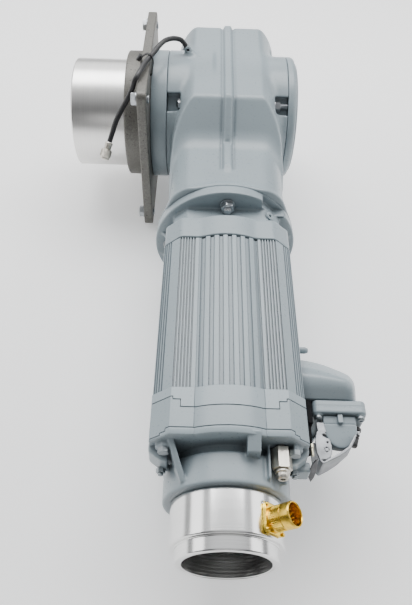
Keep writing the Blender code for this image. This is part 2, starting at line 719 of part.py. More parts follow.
def build_gear_train():
    toothed(
        "worm_wheel",
        WHEEL_TEETH,
        WHEEL_ROOT_R,
        WHEEL_TIP_R,
        3.4 / WHEEL_ROOT_R,
        1.2 / WHEEL_TIP_R,
        35.3,
        (-WHEEL_HALF_WIDTH, WHEEL_HALF_WIDTH),
        0.125 / WHEEL_PITCH_R,
        OUTPUT_AT,
        (1, 0, 0),
        BRONZE,
        middle=tooth_angle((1, 0, 0), (0, 0, -1)),
    )
    threaded_shaft(
        "worm_shaft",
        WORM_CORE_R,
        WORM_TIP_R,
        WORM_LEAD,
        5,
        18,
        [(10.2, -38.0), (10.5, -40.0), (10.5, -89.5), (8.2, -90.0), (8.2, -147.0), (7.0, -147.5),
         (7.0, -172.5), (0, -172.5)],
        [(10.2, 44.0), (10.5, 46.0), (10.5, 64.5), (8.2, 65.0), (8.2, 81.5), (0, 81.5)],
        WORM_AT,
        (0, 1, 0),
        STEEL,
        worm_phase(),
    )
    toothed(
        "helical_gear",
        GEAR_TEETH,
        GEAR_ROOT_R,
        GEAR_TIP_R,
        1.36 / GEAR_ROOT_R,
        0.42 / GEAR_TIP_R,
        7.3,
        (STAGE_LOW_Y, STAGE_HIGH_Y),
        -STAGE_HELIX_TAN / GEAR_PITCH_R,
        (0, 0, WORM_Z),
        (0, 1, 0),
        STEEL,
        middle=tooth_angle((0, 1, 0), (0, 0, 1)) + STAGE_HELIX_TAN / GEAR_PITCH_R * (STAGE_LOW_Y + STAGE_HIGH_Y) / 2,
    )
    pinion = toothed(
        "rotor_shaft",
        PINION_TEETH,
        PINION_ROOT_R,
        PINION_TIP_R,
        1.3 / PINION_ROOT_R,
        0.40 / PINION_TIP_R,
        0,
        (STAGE_LOW_Y - 1, STAGE_HIGH_Y + 1),
        STAGE_HELIX_TAN / PINION_PITCH_R,
        (0, 0, 0),
        (0, 1, 0),
        STEEL,
        middle=tooth_angle((0, 1, 0), (0, 0, -1))
        + math.pi / PINION_TEETH
        - STAGE_HELIX_TAN / PINION_PITCH_R * (STAGE_LOW_Y + STAGE_HIGH_Y) / 2,
    )
    body = lathe(
        "rotor_shaft_body",
        [(0, -266.0), (9.7, -266.0), (9.7, -250.0), (16.0, -249.0), (16.0, -60.0), (14.0, -26.0), (12.2, -25.5),
         (12.2, 12.0), (7.0, 20.0), (7.0, 60.0), (0, 60.0)],
        MOTOR_AT,
        (0, 1, 0),
        24,
        None,
    )
    boolean(pinion, "UNION", [body])
    bearing("worm_bearing_front", 8.5, 20.0, 104.3, 117.5, (0, 0, WORM_Z), (0, 1, 0))
    bearing("worm_bearing_rear", 8.5, 20.0, 275.0, 288.0, (0, 0, WORM_Z), (0, 1, 0))
    lathe(
        "worm_end_cap",
        [(0, 293.0), (20.0, 293.0), (20.0, 299.9), (18.5, 301.1), (0, 301.1)],
        (0, 0, WORM_Z),
        (0, 1, 0),
        24,
        GREY_PAINT,
    )


def tooth_angle(axis, toward):
    """The angle, in the axis's own directions, of a direction square to it."""
    u, v, _ = frame_of(axis)
    return math.atan2(Vector(toward).dot(v), Vector(toward).dot(u))


def worm_phase():
    """How far along its axis the thread starts, so that a gap faces the wheel's lowest tooth."""
    angle = tooth_angle((0, 1, 0), (0, 0, 1)) % (2 * math.pi)
    at_top = (0.44 + angle / (2 * math.pi) - 0.5 - 2.5) * WORM_LEAD
    return (0.5 * WORM_LEAD - at_top) % WORM_LEAD


def build_motor():
    shield = lathe(
        "drive_end_shield",
        [(0, MOTOR_FLANGE_TOP_Y), (MOTOR_FLANGE_R, MOTOR_FLANGE_TOP_Y), (MOTOR_FLANGE_R, 0), (52.0, 0), (52.0, -28.0), (0, -28.0)],
        MOTOR_AT,
        (0, 1, 0),
        LARGE,
        GREY_PAINT,
    )
    cap = motor_body("shield_cap", SHIELD_END_Y, -27.0, False)
    boolean(shield, "UNION", [cap])
    shield_bore = lathe(
        "shield_bore",
        [(0, 20), (21.3, 20), (21.3, -7.7), (31.9, -7.7), (31.9, -26.0), (STATOR_R + GAP, -33.0), (STATOR_R + GAP, -60.0), (0, -60.0)],
        MOTOR_AT,
        (0, 1, 0),
        MEDIUM,
        None,
    )
    stud_spans = []
    for k, (sx, sz) in enumerate(((0, 1), (1, 0), (0, -1), (-1, 0))):
        x, z = MOTOR_STUD_R * sx, MOTOR_STUD_R * sz
        stud_spans.append(((x, 17, z), (x, -5, z)))
        nut = hex_rod(f"motor_stud_{k + 1}", 13.0, (x, -GAP, z), (x, -6.8, z), ZINC, phase=0.26)
        boolean(nut, "UNION", [rod(f"motor_stud_rod_{k}", 4.0, (x, 11.8, z), (x, -12.0, z), TINY)])
    boolean(shield, "DIFFERENCE", [shield_bore, rods("shield_stud_holes", 4.75, stud_spans, TINY)])
    frame = motor_body("motor_housing", RIB_END_Y - 1.0, SHIELD_END_Y - GAP, True, 0.0, GREY_PAINT)
    belt = motor_body("housing_belt", FRAME_END_Y, RIB_END_Y, False, 0.8)
    boolean(frame, "UNION", [belt])
    frame_bore = rod("frame_bore", clear_of(STATOR_R + GAP, LARGE), (0, -40, 0), (0, -260, 0), LARGE)
    side_port = rod("side_port", 16.0, (50, -196, 4), (80, -196, 4), 20)
    boolean(frame, "DIFFERENCE", [frame_bore, side_port])
    band = motor_body("bearing_shield", BAND_END_Y, FRAME_END_Y - GAP, False, 0.8, GREY_PAINT)
    band_bore = lathe(
        "band_bore",
        [(0, -245.0), (18.0, -245.0), (18.0, -254.0), (24.2, -254.0), (24.2, -280.0), (0, -280.0)],
        MOTOR_AT,
        (0, 1, 0),
        MEDIUM,
        None,
    )
    boolean(band, "DIFFERENCE", [band_bore])
    rear = motor_body("rear_end_shield", LIP_END_Y, BAND_END_Y - GAP, False, 0.8, GREY_PAINT)
    collar = lathe(
        "rear_collar",
        [(0, LIP_END_Y + 3), (COLLAR_R + 3, LIP_END_Y + 3), (COLLAR_R, LIP_END_Y - 3), (COLLAR_R, COLLAR_END_Y + 9),
         (COLLAR_R - 2.6, COLLAR_END_Y + 3), (49.0, COLLAR_END_Y), (0, COLLAR_END_Y)],
        MOTOR_AT,
        (0, 1, 0),
        LARGE,
        None,
    )
    fitting_pad = rod("fitting_pad", 8.0, (43.5, -274, 46), (43.5, -279.0, 46), 16)
    lug = box("rear_lug", (12.5, -287.5, 48.0), (25.5, -272.0, 60.5), None)
    pads = []
    for k, (sx, sz) in enumerate(((1, 1), (-1, 1), (-1, -1), (1, -1))):
        x, z = 53.0 * sx, 53.0 * sz
        pads.append(rod(f"corner_screw_{k}", 5.2, (x, -274, z), (x, -283.0, z), TINY))
    boolean(rear, "UNION", [collar, lug, fitting_pad] + pads)
    rear_bore = rod("rear_bore", clear_of(40.3, MEDIUM), (0, -260, 0), (0, -320, 0), MEDIUM)
    fitting_hole = rod("fitting_hole", 4.3, (43.5, -272, 46), (43.5, -290, 46), 12)
    boolean(rear, "DIFFERENCE", [rear_bore, fitting_hole])
    fitting = hex_rod("hex_fitting", 9.0, (43.5, -279.4, 46), (43.5, -296.0, 46), ZINC, phase=0.26)
    tip = lathe(
        "fitting_tip",
        [(0, -273.0), (3.9, -273.0), (3.9, -298.0), (2.4, -299.5), (2.4, -303.0), (0, -303.0)],
        (43.5, 0, 46),
        (0, 1, 0),
        12,
        None,
    )
    boolean(fitting, "UNION", [tip])
    lathe(
        "threaded_sleeve",
        [(SLEEVE_THREAD_R, SLEEVE_END_Y), (SLEEVE_LIP_R - 1, SLEEVE_END_Y), (SLEEVE_LIP_R, SLEEVE_END_Y + 1),
         (SLEEVE_LIP_R, SLEEVE_STEP_Y), (SLEEVE_R - 1.0, SLEEVE_STEP_Y), (SLEEVE_R, SLEEVE_STEP_Y + 1),
         (SLEEVE_R, COLLAR_END_Y - GAP), (40.0, COLLAR_END_Y - GAP), (40.0, -286.0), (33.0, -286.0),
         (33.0, -322.0), (SLEEVE_THREAD_R, -324.0)],
        MOTOR_AT,
        (0, 1, 0),
        LARGE,
        ALUMINIUM,
    )
    out = Vector((math.cos(PLUG_ANGLE), 0, math.sin(PLUG_ANGLE)))
    base = Vector((0, PLUG_Y, 0))
    plug_hole = rod("sleeve_plug_hole", 7.2, base + out * 20, base + out * 60, 20)
    u, v, _ = frame_of(out)
    flat_points = []
    for distance in (PLUG_BASE_R - 2.0, 60.0):
        for a, b in ((-12.4, -12.4), (12.4, -12.4), (12.4, 12.4), (-12.4, 12.4)):
            flat_points.append(base + out * distance + u * a + v * b)
    flat_faces = [(0, 1, 2, 3), (7, 6, 5, 4), (0, 4, 5, 1), (1, 5, 6, 2), (2, 6, 7, 3), (3, 7, 4, 0)]
    spot_face = add_mesh("sleeve_spot_face", flat_points, flat_faces, None, (0, 0, 0))
    boolean(bpy.data.objects["threaded_sleeve"], "DIFFERENCE", [spot_face, plug_hole])
    flange_points = []
    for distance in (PLUG_BASE_R - 2.0 + GAP, PLUG_BASE_R + 1.2):
        for a, b in ((-11.8, -11.8), (11.8, -11.8), (11.8, 11.8), (-11.8, 11.8)):
            flange_points.append(base + out * distance + u * a + v * b)
    shell = add_mesh("round_connector", flange_points, flat_faces, GOLD, base)
    barrel = lathe(
        "connector_barrel",
        [(0, 39.0), (6.8, 39.0), (6.8, 47.0), (9.6, 47.5), (9.6, 54.0), (10.4, 55.0), (10.4, PLUG_TIP_R - 0.6),
         (9.8, PLUG_TIP_R), (0, PLUG_TIP_R)],
        base,
        out,
        MEDIUM,
        None,
    )
    boolean(shell, "UNION", [barrel])
    mouth = lathe(
        "connector_mouth",
        [(0, 30.0), (5.0, 30.0), (5.0, 54.0), (8.7, 54.5), (8.7, 75.0), (0, 75.0)],
        base,
        out,
        28,
        None,
    )
    boolean(shell, "DIFFERENCE", [mouth])
    insert = lathe(
        "connector_insert",
        [(0, 40.0), (4.7, 40.0), (4.7, 54.8), (8.4, 54.8), (8.4, 58.0), (0, 58.0)],
        base,
        out,
        24,
        BLACK,
    )
    pins = []
    for k in range(9):
        angle = 2 * math.pi * k / 8
        radius = 0.0 if k == 8 else 5.4
        foot = base + (u * math.cos(angle) + v * math.sin(angle)) * radius
        pins.append(rod(f"connector_pin_{k}", 0.6, foot + out * 56.5, foot + out * 63.4, 5))
    boolean(insert, "UNION", pins)
    ring_of("stator_core", 39.2, STATOR_R, -222.0, -62.0, MOTOR_AT, (0, 1, 0), MEDIUM, STEEL)
    for name, low, high in (("winding_front", -61.7, -36.0), ("winding_rear", -248.0, -222.3)):
        middle = (low + high) / 2
        outline = [(42.0, low), (54.5, low), (56.3, middle), (54.5, high), (42.0, high), (40.0, middle)]
        lathe(name, outline, MOTOR_AT, (0, 1, 0), SMALL, COPPER)
    ring_of("rotor_core", 16.3, 38.4, -220.0, -64.0, MOTOR_AT, (0, 1, 0), MEDIUM, STEEL)
    bearing("motor_bearing_front", 12.5, 31.0, -25.0, -8.2, MOTOR_AT, (0, 1, 0))
    bearing("motor_bearing_rear", 10.0, 23.5, -268.5, -254.5, MOTOR_AT, (0, 1, 0))
    ring_of("motor_shaft_seal", 12.5, 20.5, 3.0, 10.5, MOTOR_AT, (0, 1, 0), SMALL, BLACK)


def rounded_section(y, half_x, low_z, high_z, radius, centre_x, steps=3):
    half_z = (high_z - low_z) / 2
    outline = rounded(half_x, half_z, radius, steps, (centre_x, (high_z + low_z) / 2))
    return [(x, y, z) for x, z in outline]


def build_power_connector():
    sections = [
        rounded_section(-156.0, 14.0, -12.0, 20.0, 8.0, 86.0),
        rounded_section(-160.0, 19.0, -18.0, 30.0, 12.0, 91.0),
        rounded_section(-172.0, 22.5, -22.0, 40.0, 15.0, 94.5),
        rounded_section(-190.0, 23.5, -24.0, 43.0, 15.0, 95.5),
        rounded_section(-204.0, 23.5, -25.0, 38.0, 12.0, 95.5),
        rounded_section(-217.0, 23.0, -25.0, 27.0, 6.0, 95.0),
    ]
    dome = loft("terminal_dome", sections, GREY_PAINT)
    cheek = box("dome_cheek", (MOTOR_SIDE_X + 0.4, -212.0, -20.0), (80.0, -168.0, 30.0), None)
    boolean(dome, "UNION", [cheek])
    hollow = box("dome_hollow", (84.0, -230.0, -17.0), (113.0, -178.0, 21.0), None)
    port = rod("dome_port", 12.0, (60, -196, 4), (92, -196, 4), 16)
    boolean(dome, "DIFFERENCE", [hollow, port])
    flange = prism(
        "plug_flange", rounded(25.0, 27.0, 5.0, 3, (100.0, 1.0)), "Y", -230.5, -217.3, GREY_PAINT
    )
    window = box("flange_window", (88.5, -240.0, -16.0), (112.5, -210.0, 18.0), None)
    boolean(flange, "DIFFERENCE", [window])
    hood_points = [(x, -230.8, z) for x in (85.0, 114.5) for z in (-21.0, 24.0)]
    hood_points += [(x, -242.0, z) for x in (85.0, 114.0) for z in (-13.0, 17.0)]
    hood_points += [(x, -253.5, z) for x in (88.0, 108.0) for z in (-4.0, 9.5)]
    hood_points += [(x, -259.5, z) for x in (95.0, 103.0) for z in (0.0, 5.5)]
    hood = hull("plug_hood", hood_points, GREY_PAINT)
    tongue = box("hood_tongue", (89.0, -240.0, -12.0), (112.0, -205.0, 15.5), None)
    rib_points = [(x, y, z) for x in (98.6, 103.4) for y, z in ((-230.8, 10.0), (-230.8, 26.5), (-243.0, 10.0), (-243.0, 19.0))]
    rib = hull("hood_rib", rib_points, None)
    pivots = [rod("hood_pivot_top", 2.8, (88.5, -249.0, 2.0), (88.5, -249.0, 27.6), 12)]
    pivots.append(rod("hood_pivot_low", 2.8, (88.5, -249.0, 2.0), (88.5, -249.0, -24.6), TINY))
    boolean(hood, "UNION", [tongue, rib] + pivots)
    lathe(
        "latch_screw",
        [(0, 0), (4.6, 0), (4.6, 4.0), (3.4, 4.0), (3.4, 8.0), (4.8, 8.0), (4.8, 14.0), (3.6, 18.0), (0, 18.0)],
        (121.5, -232.0, 2.0),
        (-0.10, -0.995, 0),
        12,
        BLACK,
    )
    build_lever()
    rod("breather_plug", 3.4, (MOTOR_SIDE_X + 0.4, -152.0, 10.0), (82.0, -152.0, 10.0), 14, GREY_PAINT)
    lathe(
        "oil_level_plug",
        [(0, 62.0), (6.0, 62.0), (6.0, 65.0), (7.4, 65.0), (7.4, 70.0), (4.6, 73.0), (0, 73.0)],
        (0, 96, 6),
        (1, 0, 0),
        16,
        ZINC,
    )


LEVER_PIVOT = (88.5, -249.0, 2.0)


def build_lever():
    """The sheet-metal locking lever: two arms on the hood's pivots joined by a slanted grip."""
    arm = [(82.0, -238.0), (92.0, -238.0), (93.5, -246.0), (93.5, -254.0), (91.5, -270.0), (82.5, -276.5), (80.5, -262.0), (80.5, -245.0)]
    top = prism("locking_lever", arm, "Z", 24.3, 26.3, ZINC, origin=LEVER_PIVOT)
    low = prism("lever_low_arm", arm, "Z", -23.3, -21.3, None)
    grip_outline = [(83.5, -277.5), (84.0, -274.0), (105.0, -264.0), (112.5, -254.5), (114.3, -255.6), (107.0, -266.2)]
    grip = prism("lever_grip", grip_outline, "Z", -22.9, 25.9, None)
    boolean(top, "UNION", [low, grip])
    holes = [rod("lever_hole", 3.1, (88.5, -249.0, -30.0), (88.5, -249.0, 30.0), 12)]
    boolean(top, "DIFFERENCE", holes)


def main():
    clear_scene()
    build_gear_housing()
    build_output_side()
    build_gear_train()
    build_motor()
    build_power_connector()
    build_cord()
    build_cable_tie()


main()
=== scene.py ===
"""Looks of the right-angle helical-worm geared servomotor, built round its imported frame.

Shapes are given in drawing millimetres: the motor axis runs along Y with its free end toward -Y,
the output axis runs along X, and Z is up. SHIFT moves them into the frame.
"""

import math

import bmesh
import bpy
import numpy as np
from mathutils import Matrix, Vector

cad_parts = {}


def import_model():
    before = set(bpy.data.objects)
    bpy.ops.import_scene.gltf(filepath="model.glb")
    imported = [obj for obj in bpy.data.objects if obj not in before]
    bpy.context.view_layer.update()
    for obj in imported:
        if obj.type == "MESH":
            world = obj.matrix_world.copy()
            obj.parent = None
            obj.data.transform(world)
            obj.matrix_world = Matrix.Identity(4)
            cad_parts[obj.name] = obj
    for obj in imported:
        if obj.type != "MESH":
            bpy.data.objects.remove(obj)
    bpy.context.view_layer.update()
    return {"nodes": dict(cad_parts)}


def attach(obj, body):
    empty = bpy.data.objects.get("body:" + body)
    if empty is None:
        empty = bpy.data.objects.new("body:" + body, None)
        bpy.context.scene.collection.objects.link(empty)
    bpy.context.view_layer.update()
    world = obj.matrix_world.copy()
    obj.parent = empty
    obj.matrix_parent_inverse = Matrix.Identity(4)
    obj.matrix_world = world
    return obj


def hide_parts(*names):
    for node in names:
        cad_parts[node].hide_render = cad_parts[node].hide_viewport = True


SHIFT = np.array((33.46, 23.05, 80.0))
ROOT, OUTPUT, LEVER, NUT = "gearmotor", "output", "lever", "coupling_nut"

# Axes, directions and main sizes. A name ending in _R is a radius, one ending in _HALF half a width.
OUTPUT_Y, OUTPUT_Z, WORM_Z = 209.0, 32.0, -32.0
MOTOR_AXIS, WORM_AXIS, OUTPUT_AXIS = (0.0, 0.0, 0.0), (0.0, 0.0, WORM_Z), (0.0, OUTPUT_Y, OUTPUT_Z)
ACROSS, LEFTWARD, ALONG, REARWARD = (1, 0, 0), (-1, 0, 0), (0, 1, 0), (0, -1, 0)
PLATE_Y, PLATE_Z, PLATE_HALF = 209.0, 23.5, 100.5
PLATE_LOW_X, PLATE_HIGH_X, PLATE_BOSS_X, PLATE_BOSS_R = -105.5, -94.0, -126.2, 78.4
LEFT_BOSS_R, RIGHT_BOSS_R = 80.0, 76.5
STUD_R, POCKET_R, BOLT_HALF, MOTOR_STUD_R = 71.0, 77.8, 86.5, 63.0
SIDE_X, FLAT_X, FLAT_Z, ARC_R, ARC_X = 65.5, 48.8, 65.2, 71.0, 29.2
TAPER_Z, TAPER_X = (-10.0, 19.5, 20.0), (56.0, 61.5, 70.0)
REAR_FACE_Y, FITTING_X, FITTING_Z, FITTING_TURN = -274.3, 42.8, 46.0, 0.44
CLEAR_BORE_R = 4.75
GLAND_FOOT, GLAND_TIP = np.array((-36.0, 216.0, 98.0)), np.array((-54.5, 223.5, 123.0))
GLAND_AXIS = np.array((-0.578, 0.234, 0.781))
OIL_PLUG_AXIS = (0.0, 96.0, 6.0)
CONNECTOR_ANGLE, CONNECTOR_Y, PAD_HEIGHT, PAD_HALF = math.radians(43.0), -328.8, 46.0, 12.4
PLUG_X, PLUG_Z = 101.2, 1.0

# The view: place, sensor width and focal length
CAMERA_AT, SENSOR, FOCAL_LENGTH = (-28.5, -492.1, 505.4), 36.0, 35.832
CAMERA_AHEAD, CAMERA_UP = (0.0125, 0.6261, -0.7796), (-0.0287, 0.7796, 0.6256)
LIGHT_TARGET = (0.0, 0.0, 0.1)

# The lead, from the gland to its connector
CORD_R = 3.0
CORD_ROUTE = [
    (-48.7, 221.2, 115.2),
    (-56.2, 224.2, 125.3),
    (-60.5, 224.3, 129.0),
    (-68.9, 219.9, 132.5),
    (-78.1, 211.1, 134.0),
    (-84.6, 198.7, 133.5),
    (-90.9, 184.6, 131.5),
    (-98.2, 169.5, 129.8),
    (-101.8, 154.5, 130.0),
    (-104.2, 145.5, 129.6),
    (-106.5, 139.0, 127.6),
    (-108.7, 136.8, 125.2),
    (-110.0, 135.8, 121.4),
    (-112.6, 134.4, 113.8),
    (-118.4, 131.0, 103.2),
    (-125.2, 125.0, 93.2),
    (-131.4, 117.8, 83.5),
    (-135.6, 110.1, 73.5),
    (-139.6, 102.5, 64.0),
]


# ---------------------------------------------------------------- frame and camera


def place(points):
    """Drawing millimetres to the frame's metres."""
    return (np.asarray(points, float) + SHIFT) * 0.001


def set_camera():
    """One still camera that looks down at the motor's end."""
    data = bpy.data.cameras.new("view")
    data.sensor_width = SENSOR
    data.sensor_fit = "AUTO"
    data.lens = FOCAL_LENGTH
    data.clip_start = 0.01
    data.clip_end = 20.0
    camera = bpy.data.objects.new("view", data)
    bpy.context.scene.collection.objects.link(camera)
    ahead = Vector(CAMERA_AHEAD).normalized()
    up = Vector(CAMERA_UP).normalized()
    right = ahead.cross(up).normalized()
    up = right.cross(ahead)
    turn = Matrix((right, up, -ahead)).transposed().to_4x4()
    turn.translation = Vector(place(CAMERA_AT))
    camera.matrix_world = turn
    bpy.context.scene.camera = camera


# ---------------------------------------------------------------- materials


def fill_ramp(ramp, stops):
    """Stops are (place, colour) pairs; a colour is three numbers."""
    while len(ramp.elements) < len(stops):
        ramp.elements.new(0.5)
    for element, (at, colour) in zip(ramp.elements, stops):
        element.position = at
        element.color = (*colour, 1.0)


def greys(*stops):
    """Ramp stops from (place, tone) pairs."""
    return [(at, (tone, tone, tone)) for at, tone in stops]


class Paint:
    """A node tree helper for one procedural material in object millimetres."""

    def __init__(self, name, metallic=0.0, roughness=0.5, **fixed):
        self.material = bpy.data.materials.new(name)
        self.material.use_nodes = True
        self.tree = self.material.node_tree
        self.shader = self.tree.nodes["Principled BSDF"]
        self.shader.inputs["Metallic"].default_value = metallic
        self.shader.inputs["Roughness"].default_value = roughness
        for socket, value in fixed.items():
            self.shader.inputs[socket.replace("_", " ")].default_value = value
        self.where = self.tree.nodes.new("ShaderNodeTexCoord").outputs["Object"]

    def node(self, kind, **values):
        node = self.tree.nodes.new(kind)
        for name, value in values.items():
            if hasattr(node, name):
                setattr(node, name, value)
            else:
                node.inputs[name].default_value = value
        return node

    def link(self, source, target):
        self.tree.links.new(source, target)

    def noise(self, scale, detail=4.0, rough=0.55, stretch=None):
        where = self.where
        if stretch is not None:
            mapping = self.node("ShaderNodeMapping")
            mapping.inputs["Scale"].default_value = stretch
            self.link(where, mapping.inputs["Vector"])
            where = mapping.outputs["Vector"]
        node = self.node("ShaderNodeTexNoise", Scale=scale, Detail=detail, Roughness=rough)
        self.link(where, node.inputs["Vector"])
        return node.outputs["Fac"]

    def ramp(self, source, stops):
        node = self.node("ShaderNodeValToRGB")
        fill_ramp(node.color_ramp, stops)
        self.link(source, node.inputs["Fac"])
        return node.outputs["Color"]

    def span(self, source, low, high, start=0.0, end=1.0):
        node = self.node("ShaderNodeMapRange")
        for name, value in (("From Min", start), ("From Max", end), ("To Min", low), ("To Max", high)):
            node.inputs[name].default_value = value
        self.link(source, node.inputs["Value"])
        return node.outputs["Result"]

    def mix(self, share, first, second, blend="MIX"):
        node = self.node("ShaderNodeMix", data_type="RGBA", blend_type=blend)
        for value, socket in ((share, 0), (first, 6), (second, 7)):
            if isinstance(value, (int, float)):
                node.inputs[socket].default_value = value
            elif isinstance(value, tuple):
                node.inputs[socket].default_value = (*value, 1.0)
            else:
                self.link(value, node.inputs[socket])
        return node.outputs[2]

    def bump(self, height, strength, distance):
        node = self.node("ShaderNodeBump", Strength=strength, Distance=distance)
        self.link(height, node.inputs["Height"])
        before = self.shader.inputs["Normal"]
        if before.is_linked:
            self.link(before.links[0].from_socket, node.inputs["Normal"])
        self.link(node.outputs["Normal"], before)

    def edges(self, radius):
        """Where the surface is convex, from 0 to 1."""
        geometry = self.node("ShaderNodeNewGeometry")
        return self.span(geometry.outputs["Pointiness"], 0.0, 1.0, 0.5 + radius * 0.25, 0.5 + radius)


def grey_paint():
    """Sprayed machine grey: soft cast texture, fine orange peel, edges lighter as rubbed paint and painted
    highlight, painted shade in hollows.
    """
    colour, rough = (0.275, 0.330, 0.357), 0.30
    p = Paint("grey_paint", 0.0, rough, Specular_IOR_Level=0.5)
    broad = p.noise(9.0, 3.0)
    fine = p.noise(420.0, 3.0)
    low = tuple(c * 0.93 for c in colour)
    high = tuple(c * 1.06 for c in colour)
    base = p.mix(p.span(broad, 0.0, 1.0, 0.3, 0.7), low, high)
    speck = p.ramp(p.noise(900.0, 2.0), greys((0.0, 0.9), (0.42, 1), (1.0, 1)))
    base = p.mix(0.35, base, speck, "MULTIPLY")
    # Convex edges lighter: partly rubbed paint, partly a painted highlight on edges and creases.
    worn_and_highlit = p.mix(p.span(p.edges(0.06), 0.0, 0.30), base, tuple(c * 1.45 for c in colour))
    # Painted shade: ambient occlusion darkens the colour in hollows, in recesses and under overhangs.
    hollow = p.node("ShaderNodeAmbientOcclusion", samples=16, Distance=0.014)
    stops = [(0.15, (0.50, 0.50, 0.51)), (0.70, (0.84, 0.84, 0.85)), (0.95, (1, 1, 1))]
    painted_shade = p.ramp(hollow.outputs["AO"], stops)
    p.link(p.mix(1.0, worn_and_highlit, painted_shade, "MULTIPLY"), p.shader.inputs["Base Color"])
    p.link(p.span(fine, rough - 0.04, rough + 0.06, 0.3, 0.7), p.shader.inputs["Roughness"])
    p.bump(fine, 0.07, 0.0004)
    p.bump(p.noise(70.0, 4.0), 0.06, 0.0012)
    return p.material


def cast_iron():
    """Bare dark casting: coarse grain, broad stains and small pits."""
    p = Paint("raw_cast_iron", 0.55, 0.5)
    grain = p.noise(520.0, 5.0, 0.7)
    broad = p.noise(26.0, 4.0)
    tones = [(0.25, (0.075, 0.073, 0.066)), (0.5, (0.155, 0.150, 0.138)), (0.75, (0.23, 0.225, 0.205))]
    base = p.ramp(grain, tones)
    base = p.mix(p.span(broad, 0.0, 0.5, 0.35, 0.7), base, (0.12, 0.116, 0.10))
    pits = p.ramp(p.noise(240.0, 2.0), greys((0.0, 0.3), (0.30, 0.4), (0.34, 1)))
    base = p.mix(0.8, base, pits, "MULTIPLY")
    p.link(base, p.shader.inputs["Base Color"])
    p.link(p.span(grain, 0.40, 0.62, 0.3, 0.7), p.shader.inputs["Roughness"])
    p.bump(grain, 0.35, 0.0005)
    p.bump(pits, 0.25, 0.0004)
    return p.material


def turned(name, colour, rough, axis):
    """Lathe-turned bright metal: fine tool rings along the axis, faint smears and handling marks."""
    p = Paint(name, 1.0, rough)
    stretch = [1.0, 1.0, 1.0]
    stretch[axis] = 900.0
    rings = p.noise(1.0, 2.0, 0.5, stretch)
    smear = p.noise(14.0, 4.0)
    low = tuple(c * 0.9 for c in colour)
    base = p.mix(p.span(smear, 0.0, 1.0, 0.3, 0.7), low, colour)
    ringed = p.span(rings, 0.95, 1.0, 0.35, 0.65)
    p.link(p.mix(1.0, base, ringed, "MULTIPLY"), p.shader.inputs["Base Color"])
    p.link(p.span(rings, rough - 0.01, rough + 0.02, 0.3, 0.7), p.shader.inputs["Roughness"])
    p.bump(rings, 0.012, 0.0002)
    return p.material


def plated(name, colour, rough, scale=260.0):
    """Plated small metal: mottled tone and roughness, tiny scratches and lighter convex edges."""
    p = Paint(name, 1.0, rough)
    mottle = p.noise(scale, 4.0)
    low = tuple(c * 0.8 for c in colour)
    base = p.mix(p.span(mottle, 0.0, 1.0, 0.3, 0.7), low, colour)
    base = p.mix(p.span(p.edges(0.08), 0.0, 0.4), base, tuple(min(1.0, c * 1.25) for c in colour))
    p.link(base, p.shader.inputs["Base Color"])
    p.link(p.span(p.noise(80.0, 4.0), rough - 0.06, rough + 0.1, 0.3, 0.7), p.shader.inputs["Roughness"])
    p.bump(p.noise(900.0, 3.0), 0.12, 0.0002)
    return p.material


def moulded(name, colour, rough, shine=0.5):
    """Moulded black plastic or rubber with a fine matt texture."""
    p = Paint(name, 0.0, rough, Specular_IOR_Level=shine)
    texture = p.noise(700.0, 3.0)
    high = tuple(c * 1.9 + 0.004 for c in colour)
    p.link(p.mix(p.span(texture, 0.0, 1.0, 0.35, 0.7), colour, high), p.shader.inputs["Base Color"])
    p.link(p.span(p.noise(60.0, 3.0), rough - 0.06, rough + 0.08, 0.3, 0.7), p.shader.inputs["Roughness"])
    p.bump(texture, 0.15, 0.0002)
    return p.material


# ---------------------------------------------------------------- shapes as distance fields


def span_of(*parts):
    """The length of a vector given by its parts."""
    return np.sqrt(sum(part * part for part in parts))


def rounded_max(first, second, edge):
    """Both bodies' common part, with a rounded outer edge."""
    a, b = first + edge, second + edge
    return np.minimum(np.maximum(a, b), 0.0) + span_of(np.maximum(a, 0.0), np.maximum(b, 0.0)) - edge


def join(first, second, fillet=0.0):
    """Both bodies together, with a soft hollow where they meet."""
    if not fillet:
        return np.minimum(first, second)
    overlap = np.maximum(fillet - np.abs(first - second), 0.0) / fillet
    return np.minimum(first, second) - overlap * overlap * fillet * 0.25


def meet(first, second, fillet=0.0):
    """Only what both bodies share."""
    return -join(-first, -second, fillet)


def cut(first, second, fillet=0.0):
    """The first body without the second."""
    return -join(-first, second, fillet)


def block(p, centre, half, edge=0.0):
    """A box round its centre, with rounded edges."""
    gaps = [np.abs(a - c) - (h - edge) for a, c, h in zip(p, centre, half)]
    outside = span_of(*[np.maximum(gap, 0.0) for gap in gaps])
    return outside + np.minimum(np.maximum(np.maximum(gaps[0], gaps[1]), gaps[2]), 0.0) - edge


def between(p, low, high, edge=0.0):
    """A box between two opposite corners."""
    centre = [(a + b) / 2 for a, b in zip(low, high)]
    half = [(b - a) / 2 for a, b in zip(low, high)]
    return block(p, centre, half, edge)


def rounded_box(a, b, half_a, half_b, corner):
    """A rectangle with round corners, in distances from its middle."""
    return span_of(np.maximum(np.abs(a) - half_a, 0.0), np.maximum(np.abs(b) - half_b, 0.0)) - corner


def drum(p, axis, centre, radius, low, high, edge=0.0):
    """A cylinder along X, Y or Z."""
    i, j = [k for k in range(3) if k != axis]
    radial = span_of(p[i] - centre[i], p[j] - centre[j]) - radius
    return rounded_max(radial, np.abs(p[axis] - (low + high) / 2) - (high - low) / 2, edge)


def capsule(p, start, end, radius):
    """A round bar with round ends."""
    along = np.array(end, float) - np.array(start, float)
    size = float(along @ along)
    rel = [a - s for a, s in zip(p, start)]
    t = np.clip(sum(r * d for r, d in zip(rel, along)) / size, 0.0, 1.0)
    return span_of(*[r - t * d for r, d in zip(rel, along)]) - radius


